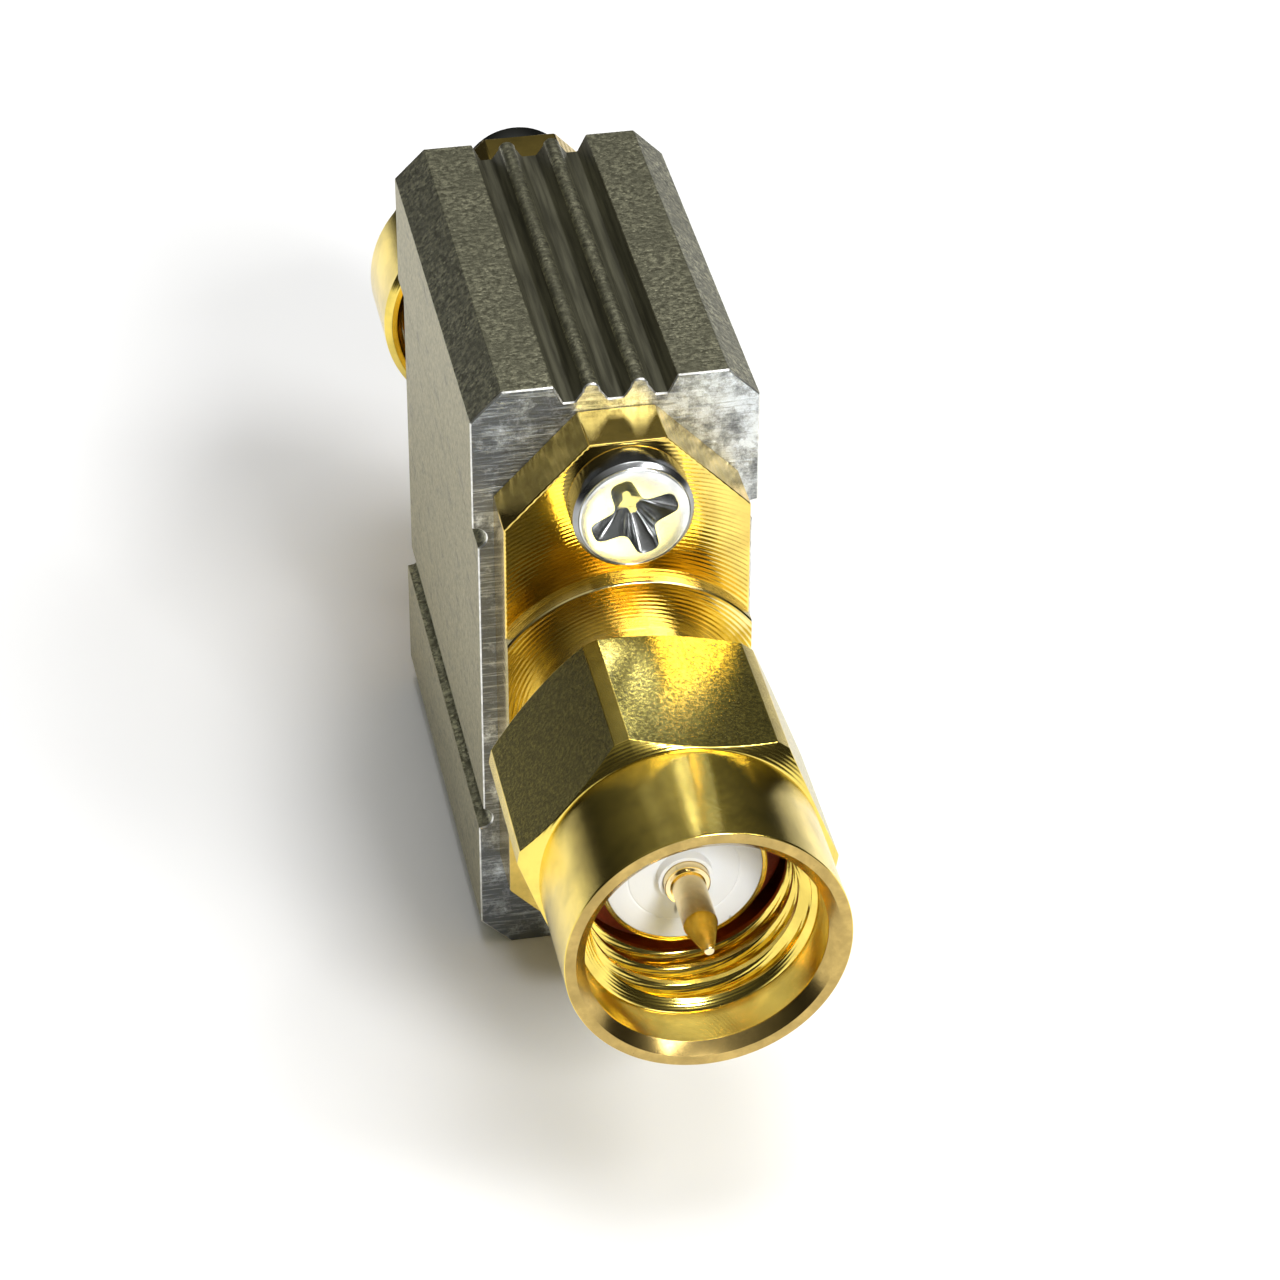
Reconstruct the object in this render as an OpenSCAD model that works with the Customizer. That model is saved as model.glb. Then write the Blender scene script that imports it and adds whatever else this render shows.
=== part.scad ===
// Coaxial RF filter: a short extruded housing with a flanged plug on one end and
// a flanged jack on the other, and a filter board between them. Millimetres.
// X runs across, Y from the plug to the jack, Z up. It stands on its narrow edge.

/* [Housing] */
// Length of the extrusion between its two sawn ends
body_len = 14; // [12.5:0.5:40]
// Width of the narrow edge
body_w = 8.2; // [7.8:0.1:10]
// Height from narrow edge to narrow edge
body_h = 19.4; // [18.8:0.1:24]
// Chamfer along the four long corners
body_chamfer = 0.9; // [0.3:0.1:1.2]
// Width of the ribbed channel at its mouth, in both narrow edges
channel_mouth = 3.5; // [3.3:0.05:4.4]
// Width of the ribbed channel at its floor
channel_floor = 2.95; // [2.8:0.05:3.4]
// Depth of the ribbed channel
channel_depth = 0.55; // [0.3:0.05:0.7]
// Distance between the two ribs in the channel
rib_pitch = 1.36; // [1.25:0.01:1.6]
// Width of a rib at its foot
rib_foot = 0.94; // [0.6:0.02:1.0]
// Width of a rib at its rounded top
rib_top = 0.5; // [0.2:0.02:0.64]
// Height of the shallow field on each wide side, middle to middle of its grooves
field_h = 9.9; // [8:0.1:12]
// Depth of that field
field_depth = 0.15; // [0.05:0.05:0.3]
// Width of the long groove on each edge of the field
groove_w = 0.65; // [0.4:0.05:0.9]
// Depth of that groove below the wide side
groove_depth = 0.4; // [0.2:0.05:0.6]
// Wall between a wide side and the cavity
side_wall = 1.2; // [1:0.05:1.5]
// Distance from a screw's axis to the cavity
cavity_web = 2; // [1.8:0.1:2.5]
// Depth of the two slots that hold the board's edges
slot_depth = 0.4; // [0.25:0.05:0.5]

/* [Flanges] */
// Distance from a flange's side to the wide side of the housing
flange_inset = 0.6; // [0.3:0.05:0.9]
// Distance from a screw's axis out to the tip of the flange
flange_margin = 1.85; // [1.6:0.05:2.1]
// Thickness of a flange
flange_t = 1.8; // [1.2:0.1:2.5]
// Distance from a screw's axis back to the shoulder, where the flange starts to narrow
flange_shoulder = 0.65; // [0.2:0.05:1.5]
// Width of the flat at each tip
flange_tip = 2.2; // [1.4:0.1:3]
// Diameter of the raised hub, which the sides of the flange cut off
hub_d = 8.8; // [8:0.1:9.6]
// Height of the raised hub
hub_h = 0.35; // [0.1:0.05:0.6]

/* [Screws] */
// Distance between the two screws of a flange
screw_pitch = 14; // [13.8:0.1:14.4]
// Thread diameter
screw_d = 2; // [1.6:0.1:2.2]
// Length under the head
screw_len = 5; // [3.5:0.5:8]
// Diameter of the head at its foot
head_d = 3.5; // [2.9:0.1:3.7]
// Width of the bevel round the head's flat face
head_bevel = 0.2; // [0.05:0.05:0.4]
// Height of the head
head_h = 1; // [0.8:0.1:1.6]
// Span of the cross recess
recess_span = 2.6; // [1.6:0.1:2.6]
// Width of a recess wing
recess_w = 0.64; // [0.3:0.02:0.66]
// Depth of the cross recess
recess_depth = 0.8; // [0.5:0.1:1.2]
// Angle at which each screw came to rest: plug upper, plug lower, jack upper, jack lower
screw_turns = [20, 57, 68, 11];

/* [Plug] */
// Diameter of the plug's neck, on which the coupling nut runs
neck_d = 5.8; // [5.4:0.1:6.2]
// Distance from the housing to the front shoulder of the neck
neck_end = 8; // [7.5:0.1:8.5]
// Length of the plug's front sleeve
ferrule_len = 1.8; // [1.4:0.1:2.2]
// Wall of that sleeve
ferrule_wall = 0.13; // [0.1:0.01:0.2]
// Diameter of the insulator in the plug and the jack
insulator_d = 4.36; // [4:0.02:4.4]
// Distance from the sleeve's front rim to the tip of the centre pin
pin_reach = 3.4; // [2.4:0.1:3.6]
// Length of the pin's conical point
pin_point = 1.15; // [0.4:0.05:1.3]
// Diameter of the pin's blunt tip
pin_tip_d = 0.26; // [0.1:0.02:0.4]
// Diameter of the centre pin
pin_d = 0.94; // [0.8:0.02:1.0]
// Wall of the insulator's small boss round the pin's shank
boss_wall = 0.12; // [0.08:0.01:0.3]
// Height of that boss
boss_h = 0.3; // [0.1:0.05:0.5]
// How far the pin's shank stands out of the boss
shank_reach = 0.25; // [0.1:0.05:0.5]

/* [Coupling nut] */
// Size of the coupling nut across its flats
nut_af = 8; // [7.8:0.1:9]
// Height turned off each corner of the hexagon
nut_corner_cut = 0.12; // [0.05:0.01:0.3]
// Distance from the housing to the nut's back face
nut_back = 4.2; // [3.6:0.1:4.8]
// Distance from the housing to the end of the hexagon
nut_hex_end = 9.5; // [9:0.1:10.5]
// Distance from the housing to the nut's front rim
nut_front = 13.2; // [12.4:0.1:14]
// Height of the thread, from its outside diameter to the crests inside the nut
thread_h = 0.3; // [0.2:0.02:0.4]
// Radial gap between a mating thread and the plain mouth in front of the nut's thread
mouth_gap = 0.125; // [0.05:0.005:0.2]
// Depth of the plain mouth
mouth_depth = 1.5; // [0.5:0.1:2]
// Width of the chamfer inside the rim
mouth_chamfer = 0.3; // [0.1:0.02:0.4]
// Width of the rim between that chamfer and the collar's outside
rim_land = 0.32; // [0.2:0.02:0.4]
// Radial step from the nut's plain bore to the run-out behind its thread
runout_step = 0.35; // [0.2:0.05:0.45]
// Distance from the neck's shoulder to the front of the run-out
runout_len = 1.1; // [1:0.1:1.4]
// Angle at which the nut came to rest
nut_turn = 50.8; // [0:0.1:59]

/* [Snap ring and gasket] */
// Distance from the housing to the middle of the snap ring
ring_at = 6.2; // [5.6:0.1:6.8]
// Width of the snap ring along the neck
ring_w = 0.4; // [0.3:0.05:0.5]
// How deep the snap ring lies in the neck
ring_seat = 0.35; // [0.25:0.05:0.45]
// How far it stands out of the neck
ring_proud = 0.175; // [0.12:0.005:0.2]
// Gap between the ends of the snap ring
ring_gap = 1.2; // [0.6:0.1:2]
// Thickness of the gasket on the neck's shoulder
gasket_t = 0.85; // [0.6:0.05:0.9]
// How far the gasket stands out past the neck
gasket_over = 0.15; // [0:0.05:0.2]

/* [Jack] */
// Outside diameter of the thread of the jack, the mating plug and both nuts
thread_d = 6.35; // [6.2:0.05:6.5]
// Distance from the housing to the jack's front rim
jack_end = 10.8; // [9.6:0.1:12]
// Chamfer at the start of the jack's thread
thread_chamfer = 0.35; // [0.2:0.05:0.5]
// Distance between the rings that stand for the turns of the jack's thread
thread_pitch = 0.7056; // [0.65:0.0004:0.9]
// Depth of the grooves between those rings
thread_depth = 0.36; // [0.2:0.02:0.4]
// Width of a ring at its top
thread_crest = 0.09; // [0.05:0.01:0.15]
// Radial gap round a mating plug's sleeve in the jack's counterbore
socket_gap = 0.05; // [0.02:0.01:0.1]
// Depth of that counterbore
socket_depth = 1.9; // [1.5:0.1:2.2]
// Outside diameter of both centre contacts inside their insulators
contact_d = 1.27; // [1.2:0.01:1.4]
// Depth of the bore in the jack's centre contact
contact_depth = 3; // [2:0.1:4]
// Width of the four slots in the contact
contact_slot = 0.16; // [0.1:0.02:0.2]
// Length of those slots
contact_slot_len = 2.2; // [1.5:0.1:2.6]
// Outside diameter of the jack's round nut
jack_nut_d = 7.6; // [7.3:0.1:8.6]
// Distance from the housing to the jack nut's near face
jack_nut_at = 5.8; // [4.5:0.1:6.4]
// Thickness of the jack nut
jack_nut_t = 3.5; // [2.4:0.1:3.6]
// Chamfer on both ends of that nut
jack_nut_chamfer = 0.2; // [0.1:0.05:0.3]
// Width of the two spanner slots in its outer face
jack_nut_slot = 1.2; // [0.8:0.1:1.6]
// Depth of those slots
jack_nut_slot_depth = 0.8; // [0.4:0.1:1.2]
// Angle at which the jack nut came to rest
jack_nut_turn = 62; // [0:1:179]

/* [Filter board] */
// Thickness of the board
board_t = 0.8; // [0.6:0.1:1.2]
// Gap between the board and each end of the housing
board_end_gap = 0.3; // [0.1:0.05:0.6]
// Length of the contact tails that lie on the board
tail_len = 2.9; // [2:0.1:3.2]
// Height of the tails' axis over the board
tail_rise = 0.3; // [0.2:0.02:0.4]
// Side of the square filter element
chip_side = 3; // [2:0.1:3]
// Height of the filter element's base
chip_base_h = 0.6; // [0.4:0.05:0.8]
// Height of its metal lid
chip_lid_h = 0.35; // [0.2:0.05:0.5]
// Margin between the lid and the base's edge
chip_margin = 0.2; // [0.1:0.05:0.4]
// Length of a chip inductor or capacitor
chip_part_len = 1.6; // [1:0.1:1.6]
// Width of a chip inductor or capacitor
chip_part_w = 0.8; // [0.5:0.05:0.9]
// Height of a chip inductor
inductor_h = 0.6; // [0.4:0.05:0.8]
// Height of a chip capacitor
capacitor_h = 0.8; // [0.4:0.05:0.9]
// Length of the metal ends of a chip part
end_cap = 0.32; // [0.2:0.02:0.4]
// Thickness of the plating on those ends
end_plating = 0.02; // [0.01:0.01:0.04]
// Distance from the signal line to the near end of a capacitor
capacitor_off = 1.1; // [1:0.1:1.6]
// Thickness of the solder round a contact tail
solder_t = 0.3; // [0.15:0.05:0.4]
// Length of the solder along a contact tail
solder_len = 1.5; // [1:0.1:1.8]
// Length of the solder's taper at each end
solder_taper = 0.35; // [0.1:0.05:0.45]
// Distance from the solder to the end of the tail
solder_inset = 0.15; // [0.05:0.05:0.3]

/* [Fits] */
// Radial gap between the turning nuts and what carries them
run_fit = 0.05; // [0.03:0.01:0.08]
// Radial gap of parts that are pressed, screwed or soldered together
snug_fit = 0.01; // [0.005:0.005:0.02]
// Gap round the board in its slots
slide_fit = 0.06; // [0.04:0.01:0.1]
// Radial gap round a screw in its flange
screw_fit = 0.1; // [0.05:0.05:0.2]
// Gap at each side of the snap ring in its grooves
ring_fit = 0.08; // [0.05:0.01:0.1]

/* [Hidden] */
$fn = 72;
eps = 0.02;

// Places: the model's middle along Y, and the height of the connectors' axis
y_mid = (body_len + jack_end - nut_front) / 2;
axis_z = body_h / 2;

// Widths that follow the housing
cavity_w = body_w - 2 * side_wall;
flange_w = body_w - 2 * flange_inset;

// Heights that follow the screws
cavity_h = screw_pitch - 2 * cavity_web;
flange_h = screw_pitch + 2 * flange_margin;
flange_straight = screw_pitch - 2 * flange_shoulder;

// Screws
tap_spare = 0.8;
screw_hole_depth = screw_len - flange_t + tap_spare;
screw_lead = 0.2;
tap_r = screw_d / 2 + snug_fit;

// Plug
hub_face = flange_t + hub_h;
neck_r = neck_d / 2;
nut_bore_r = neck_r + run_fit;
groove_half = ring_w / 2 + ring_fit;
ring_in_r = neck_r - ring_seat;
ring_out_r = neck_r + ring_proud;
nut_groove_r = ring_out_r + ring_fit;
neck_groove_r = ring_in_r - snug_fit;

// Inside and rim of the coupling nut
crest_r = thread_d / 2 - thread_h;
mouth_r = thread_d / 2 + mouth_gap;
rim_inner_r = mouth_r + mouth_chamfer;
collar_r = rim_inner_r + rim_land;
runout_r = nut_bore_r + runout_step;
thread_lead = 0.2;
bevel_over = 0.05;
insulator_r = insulator_d / 2;
seat_r = insulator_r + snug_fit;
ferrule_r = seat_r + ferrule_wall;
ferrule_end = neck_end + ferrule_len;
pin_end = ferrule_end + pin_reach;
bore_r = contact_d / 2 + snug_fit;
shank_end = ferrule_end + boss_h + shank_reach;

// Jack
jack_nut_bore_r = thread_d / 2 + run_fit;
thread_root_r = thread_d / 2 - thread_depth;
thread_flank = thread_depth * tan(30);
ring_first = hub_face + thread_pitch;
ring_count = floor((jack_end - ring_first) / thread_pitch);
jack_face = jack_end - socket_depth;
socket_r = ferrule_r + socket_gap;
contact_bore = pin_d + 2 * snug_fit;

// Board: its face lies at x = -tail_rise, so the flats of the tails rest on it
board_face = -tail_rise;
board_len = body_len - 2 * board_end_gap;
board_h = cavity_h + 2 * (slot_depth - slide_fit);
slot_w = board_t + 2 * slide_fit;
line_half = body_len / 2;
gap_to_chip = (line_half - chip_side / 2) - tail_len;
inductor_y = tail_len + gap_to_chip / 2;

// Local frames: z points out of an end of the housing, y up
module plug_end() translate([0, -y_mid, axis_z]) rotate([90, 0, 0]) children();
module jack_end_frame() translate([0, body_len - y_mid, axis_z]) rotate([90, 0, 180]) children();
// Housing frame: y from the plug's end, z from the connectors' axis
module inside() translate([0, -y_mid, axis_z]) children();

function cut_rectangle(w, h, c) = [[w/2 - c, -h/2], [w/2, -h/2 + c], [w/2, h/2 - c],
    [w/2 - c, h/2], [-w/2 + c, h/2], [-w/2, h/2 - c], [-w/2, -h/2 + c], [-w/2 + c, -h/2]];

// Housing

module rib() {
    straight = channel_depth - rib_top / 2;
    polygon([[-rib_foot/2, -eps], [rib_foot/2, -eps], [rib_top/2, straight], [-rib_top/2, straight]]);
    translate([0, straight]) circle(d = rib_top);
}

module ribbed_channel() {
    mouth = channel_mouth + 2 * eps;
    difference() {
        polygon([[-channel_floor/2, -channel_depth], [channel_floor/2, -channel_depth],
            [mouth/2, eps], [-mouth/2, eps]]);
        for (side = [-1, 1]) translate([side * rib_pitch / 2, -channel_depth]) rib();
    }
}

module side_relief() {
    for (end = [-1, 1]) translate([body_w/2 - groove_depth + groove_w/2, end * field_h/2]) {
        circle(d = groove_w);
        translate([0, -groove_w/2]) square([groove_w, groove_w]);
    }
    translate([body_w/2 - field_depth, -field_h/2]) square([field_depth + eps, field_h]);
}

module housing_section() {
    difference() {
        polygon(cut_rectangle(body_w, body_h, body_chamfer));
        for (turn = [0, 180]) rotate(turn) {
            translate([0, body_h/2]) ribbed_channel();
            side_relief();
        }
        square([cavity_w, cavity_h], center = true);
        translate([board_face - board_t - slide_fit, -cavity_h/2 - slot_depth])
            square([slot_w, cavity_h + 2 * slot_depth]);
    }
}

module housing() {
    color("#8d8f7f") difference() {
        inside() translate([0, body_len, 0]) rotate([90, 0, 0])
            linear_extrude(body_len) housing_section();
        for (end = [-1, 1]) {
            plug_end() translate([0, end * screw_pitch/2, -screw_hole_depth])
                cylinder(r = tap_r, h = screw_hole_depth + eps);
            jack_end_frame() translate([0, end * screw_pitch/2, -screw_hole_depth])
                cylinder(r = tap_r, h = screw_hole_depth + eps);
        }
    }
}

// Flange with its raised hub, drilled for two screws
module flange() {
    tip = flange_h / 2;
    side = flange_straight / 2;
    difference() {
        union() {
            linear_extrude(flange_t) polygon([[flange_w/2, -side], [flange_w/2, side],
                [flange_tip/2, tip], [-flange_tip/2, tip], [-flange_w/2, side],
                [-flange_w/2, -side], [-flange_tip/2, -tip], [flange_tip/2, -tip]]);
            intersection() {
                cylinder(d = hub_d, h = hub_face);
                translate([-flange_w/2, -hub_d/2, 0]) cube([flange_w, hub_d, hub_face]);
            }
        }
        for (end = [-1, 1]) translate([0, end * screw_pitch/2, -eps])
            cylinder(r = screw_d/2 + screw_fit, h = flange_t + 2 * eps);
    }
}

// Plug

module plug_body() {
    color("#c9a23a") plug_end() difference() {
        union() {
            flange();
            rotate_extrude() polygon([[0, 0], [neck_r, 0], [neck_r, ring_at - groove_half],
                [neck_groove_r, ring_at - groove_half], [neck_groove_r, ring_at + groove_half],
                [neck_r, ring_at + groove_half], [neck_r, neck_end], [ferrule_r, neck_end],
                [ferrule_r, ferrule_end], [0, ferrule_end]]);
        }
        translate([0, 0, -eps]) cylinder(r = seat_r, h = ferrule_end + 2 * eps);
    }
}

module plug_insulator() {
    color("#f2f1ec") plug_end() difference() {
        union() {
            cylinder(r = insulator_r, h = ferrule_end);
            cylinder(r = bore_r + boss_wall, h = ferrule_end + boss_h);
        }
        translate([0, 0, -eps]) cylinder(r = bore_r, h = ferrule_end + boss_h + 2 * eps);
    }
}

// Tail of a contact inside the housing; its flat faces the board on the given side
module tail(side) {
    difference() {
        translate([0, 0, -tail_len]) cylinder(d = pin_d, h = tail_len + eps);
        translate([side > 0 ? tail_rise : -tail_rise - pin_d, -pin_d, -tail_len - eps])
            cube([pin_d, 2 * pin_d, tail_len + eps]);
    }
}

module plug_contact() {
    color("#c9a23a") plug_end() {
        tail(-1);
        rotate_extrude() polygon([[0, 0], [contact_d/2, 0], [contact_d/2, shank_end],
            [pin_d/2, shank_end], [pin_d/2, pin_end - pin_point],
            [pin_tip_d/2, pin_end], [0, pin_end]]);
    }
}

// A hexagon of the given size whose corners are turned down and bevelled at both ends
module turned_hexagon(af, corner_cut, from, to) {
    corner_r = af / 2 / cos(30) - corner_cut;
    bevel = corner_r - af / 2 + bevel_over;
    rise = bevel * tan(30);
    intersection() {
        translate([0, 0, from]) cylinder(d = af / cos(30), h = to - from, $fn = 6);
        rotate_extrude() polygon([[0, from], [corner_r - bevel, from], [corner_r, from + rise],
            [corner_r, to - rise], [corner_r - bevel, to], [0, to]]);
    }
}

module coupling_nut() {
    thread_from = neck_end + runout_len;
    thread_to = nut_front - mouth_depth;
    color("#c9a23a") plug_end() difference() {
        union() {
            rotate(nut_turn) turned_hexagon(nut_af, nut_corner_cut, nut_back, nut_hex_end);
            translate([0, 0, nut_back + bevel_over])
                cylinder(r = collar_r, h = nut_front - nut_back - bevel_over);
        }
        rotate_extrude() polygon([[0, nut_back - eps], [nut_bore_r, nut_back - eps],
            [nut_bore_r, ring_at - groove_half], [nut_groove_r, ring_at - groove_half],
            [nut_groove_r, ring_at + groove_half], [nut_bore_r, ring_at + groove_half],
            [nut_bore_r, neck_end - ring_fit], [runout_r, neck_end - ring_fit],
            [runout_r, thread_from], [crest_r, thread_from + thread_lead],
            [crest_r, thread_to - thread_lead], [mouth_r, thread_to],
            [mouth_r, nut_front - mouth_chamfer], [rim_inner_r, nut_front],
            [rim_inner_r, nut_front + eps], [0, nut_front + eps]]);
    }
}

module snap_ring() {
    color("#b9b7b0") plug_end() difference() {
        translate([0, 0, ring_at - ring_w/2]) cylinder(r = ring_out_r, h = ring_w);
        translate([0, 0, ring_at - ring_w]) cylinder(r = ring_in_r, h = 2 * ring_w);
        translate([-ring_gap/2, 0, ring_at - ring_w]) cube([ring_gap, 2 * ring_out_r, 2 * ring_w]);
    }
}

module plug_gasket() {
    color("#8c2f1c") plug_end() difference() {
        translate([0, 0, neck_end]) cylinder(r = neck_r + gasket_over, h = gasket_t);
        translate([0, 0, neck_end - eps]) cylinder(r = ferrule_r + snug_fit, h = gasket_t + 2 * eps);
    }
}

// Jack

module thread_ring() {
    foot = thread_crest / 2 + thread_flank;
    polygon([[-eps, -foot], [0, -foot], [thread_depth, -thread_crest/2],
        [thread_depth, thread_crest/2], [0, foot], [-eps, foot]]);
}

module jack_body() {
    color("#c9a23a") jack_end_frame() difference() {
        union() {
            flange();
            rotate_extrude() intersection() {
                union() {
                    square([thread_root_r, jack_end]);
                    for (i = [0:ring_count]) translate([thread_root_r, ring_first + i * thread_pitch])
                        thread_ring();
                }
                polygon([[0, 0], [thread_d/2, 0], [thread_d/2, jack_end - thread_chamfer],
                    [thread_d/2 - thread_chamfer, jack_end], [0, jack_end]]);
            }
        }
        translate([0, 0, -eps]) cylinder(r = seat_r, h = jack_end + 2 * eps);
        translate([0, 0, jack_face]) cylinder(r = socket_r, h = socket_depth + eps);
    }
}

module jack_insulator() {
    color("#f2f1ec") jack_end_frame() difference() {
        cylinder(r = insulator_r, h = jack_face);
        translate([0, 0, -eps]) cylinder(r = bore_r, h = jack_face + 2 * eps);
    }
}

module jack_contact() {
    color("#c9a23a") jack_end_frame() {
        tail(1);
        difference() {
            cylinder(d = contact_d, h = jack_face);
            translate([0, 0, jack_face - contact_depth]) cylinder(d = contact_bore, h = contact_depth + eps);
            for (turn = [0, 90]) rotate(turn)
                translate([-contact_slot/2, -contact_d, jack_face - contact_slot_len])
                    cube([contact_slot, 2 * contact_d, contact_slot_len + eps]);
        }
    }
}

module jack_nut() {
    outer = jack_nut_d / 2;
    top = jack_nut_at + jack_nut_t;
    color("#c9a23a") jack_end_frame() rotate(jack_nut_turn) difference() {
        rotate_extrude() polygon([[jack_nut_bore_r, jack_nut_at], [outer - jack_nut_chamfer, jack_nut_at],
            [outer, jack_nut_at + jack_nut_chamfer], [outer, top - jack_nut_chamfer],
            [outer - jack_nut_chamfer, top], [jack_nut_bore_r, top]]);
        translate([-jack_nut_d, -jack_nut_slot/2, top - jack_nut_slot_depth])
            cube([2 * jack_nut_d, jack_nut_slot, jack_nut_slot_depth + eps]);
    }
}

// Screws

module screw(turn) {
    color("#c8c8c4") translate([0, 0, flange_t]) difference() {
        rotate_extrude() polygon([[0, -screw_len], [screw_d/2 - screw_lead, -screw_len],
            [screw_d/2, -screw_len + screw_lead], [screw_d/2, 0], [head_d/2, 0],
            [head_d/2, head_h - 2 * head_bevel], [head_d/2 - head_bevel, head_h], [0, head_h]]);
        rotate(turn) for (wing = [0, 90]) rotate(wing) translate([0, recess_w/2, head_h])
            rotate([90, 0, 0]) linear_extrude(recess_w)
                polygon([[-recess_span/2, eps], [recess_span/2, eps],
                    [recess_w/2, -recess_depth], [-recess_w/2, -recess_depth]]);
    }
}

module plug_screw_upper() plug_end() translate([0, screw_pitch/2, 0]) screw(screw_turns[0]);
module plug_screw_lower() plug_end() translate([0, -screw_pitch/2, 0]) screw(screw_turns[1]);
module jack_screw_upper() jack_end_frame() translate([0, screw_pitch/2, 0]) screw(screw_turns[2]);
module jack_screw_lower() jack_end_frame() translate([0, -screw_pitch/2, 0]) screw(screw_turns[3]);

// Filter board

module circuit_board() {
    color("#2f6b45") inside() translate([board_face - board_t, board_end_gap, -board_h/2])
        cube([board_t, board_len, board_h]);
}

module filter_element() {
    color("#d9cfa8") inside() translate([board_face, line_half, 0]) {
        translate([0, -chip_side/2, -chip_side/2]) cube([chip_base_h, chip_side, chip_side]);
        translate([0, -chip_side/2 + chip_margin, -chip_side/2 + chip_margin])
            cube([chip_base_h + chip_lid_h, chip_side - 2 * chip_margin, chip_side - 2 * chip_margin]);
    }
}

// A chip part on the board: its length lies along y and its height along x
module chip_part(h) {
    translate([0, -chip_part_len/2 + end_plating, -chip_part_w/2 + end_plating])
        cube([h - end_plating, chip_part_len - 2 * end_plating, chip_part_w - 2 * end_plating]);
    for (end = [-1, 1])
        translate([0, end * (chip_part_len - end_cap)/2 - end_cap/2, -chip_part_w/2])
            cube([h, end_cap, chip_part_w]);
}

module on_board(y, z) inside() translate([board_face, y, z]) children();

module input_inductor() color("#3b4a3f") on_board(inductor_y, 0) chip_part(inductor_h);
module output_inductor() color("#3b4a3f") on_board(body_len - inductor_y, 0) chip_part(inductor_h);

module input_capacitor() color("#9a7a55")
    on_board(inductor_y, capacitor_off + chip_part_len/2) rotate([90, 0, 0]) chip_part(capacitor_h);
module output_capacitor() color("#9a7a55")
    on_board(body_len - inductor_y, capacitor_off + chip_part_len/2) rotate([90, 0, 0]) chip_part(capacitor_h);

// Solder round a contact tail, cut flat where it meets the board
module solder(side) {
    color("#b4b6ba") difference() {
        translate([0, 0, solder_inset - tail_len]) rotate_extrude() difference() {
            polygon([[0, 0], [pin_d/2 + solder_t, solder_taper],
                [pin_d/2 + solder_t, solder_len - solder_taper], [0, solder_len]]);
            square([pin_d/2 + snug_fit, solder_len]);
        }
        translate([side > 0 ? tail_rise : -tail_rise - 2 * pin_d, -2 * pin_d, -tail_len - eps])
            cube([2 * pin_d, 4 * pin_d, tail_len + 2 * eps]);
    }
}

module plug_solder() plug_end() solder(-1);
module jack_solder() jack_end_frame() solder(1);

housing();
plug_body();
plug_insulator();
plug_contact();
coupling_nut();
snap_ring();
plug_gasket();
jack_body();
jack_insulator();
jack_contact();
jack_nut();
plug_screw_upper();
plug_screw_lower();
jack_screw_upper();
jack_screw_lower();
circuit_board();
filter_element();
input_inductor();
output_inductor();
input_capacitor();
output_capacitor();
plug_solder();
jack_solder();
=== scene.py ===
"""Finish and studio view of the in-line coaxial filter, laid out as an add-on and run as a script."""

import math
from types import SimpleNamespace

import bpy
from mathutils import Matrix, Vector


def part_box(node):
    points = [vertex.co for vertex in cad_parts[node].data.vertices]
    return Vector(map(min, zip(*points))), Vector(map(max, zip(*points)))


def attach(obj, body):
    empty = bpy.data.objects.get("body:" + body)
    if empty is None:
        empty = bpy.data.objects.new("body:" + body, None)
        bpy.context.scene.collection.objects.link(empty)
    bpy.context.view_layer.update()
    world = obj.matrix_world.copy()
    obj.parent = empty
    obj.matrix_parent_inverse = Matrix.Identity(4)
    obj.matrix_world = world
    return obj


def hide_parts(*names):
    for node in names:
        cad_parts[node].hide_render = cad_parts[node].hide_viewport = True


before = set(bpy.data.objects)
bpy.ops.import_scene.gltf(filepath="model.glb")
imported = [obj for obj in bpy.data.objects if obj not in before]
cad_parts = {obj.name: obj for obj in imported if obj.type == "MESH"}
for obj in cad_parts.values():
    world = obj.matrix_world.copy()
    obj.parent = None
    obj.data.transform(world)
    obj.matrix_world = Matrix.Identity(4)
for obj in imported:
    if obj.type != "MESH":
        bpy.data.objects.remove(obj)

bl_info = {
    "name": "Coaxial filter finish",
    "version": (1, 0, 0),
    "blender": (4, 5, 0),
    "location": "3D View > Sidebar > Filter",
    "description": "Builds the finished pieces, materials and studio of an in-line coaxial filter",
    "category": "Object",
}

MM = 0.001
TURN = 2 * math.pi

# Steps round a large, a small and a tiny turned piece. The two large threads have the last number a turn
WHEEL = 144
SMALL_WHEEL = 96
TINY_WHEEL = 64

# Distances under which points are merged: in millimetres while a piece is modelled, in metres once placed
MERGE = 1e-4
SEAM = 4e-7

# How far a cutter reaches past what it cuts, and how deep a barrel starts in its flange, in millimetres
PAST = 1
ROOTED = 0.4

# Rise of a thread's flank for each unit of its depth
FLANK = math.tan(math.radians(30))

# Places of the three lamps, and the point that they face, in metres
KEY_PLACE = (0.11, -0.44, 0.3)
SIDE_PLACE = (0.3, -0.2, 0.4)
TOP_PLACE = (0.05, 0.02, 0.5)
LAMP_AIM = (0, 0, 0.01)


def number(name, description, value, **limits):
    """A number property."""
    return bpy.props.FloatProperty(name=name, description=description, default=value, **limits)


def length(name, description, millimetres):
    """A length property, given in millimetres and kept in metres."""
    return number(name, description, millimetres * MM, min=0, precision=6, unit="LENGTH")


def angle(name, description, degrees):
    """An angle property, given in degrees."""
    return number(name, description, math.radians(degrees), unit="ROTATION")


def amount(name, description, value, most=1.0):
    """A property without a unit."""
    return number(name, description, value, min=0, max=most, subtype="FACTOR")


def tint(name, description, red, green, blue):
    """A colour property."""
    return bpy.props.FloatVectorProperty(
        name=name, description=description, default=(red, green, blue), min=0, max=1, subtype="COLOR"
    )


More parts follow.
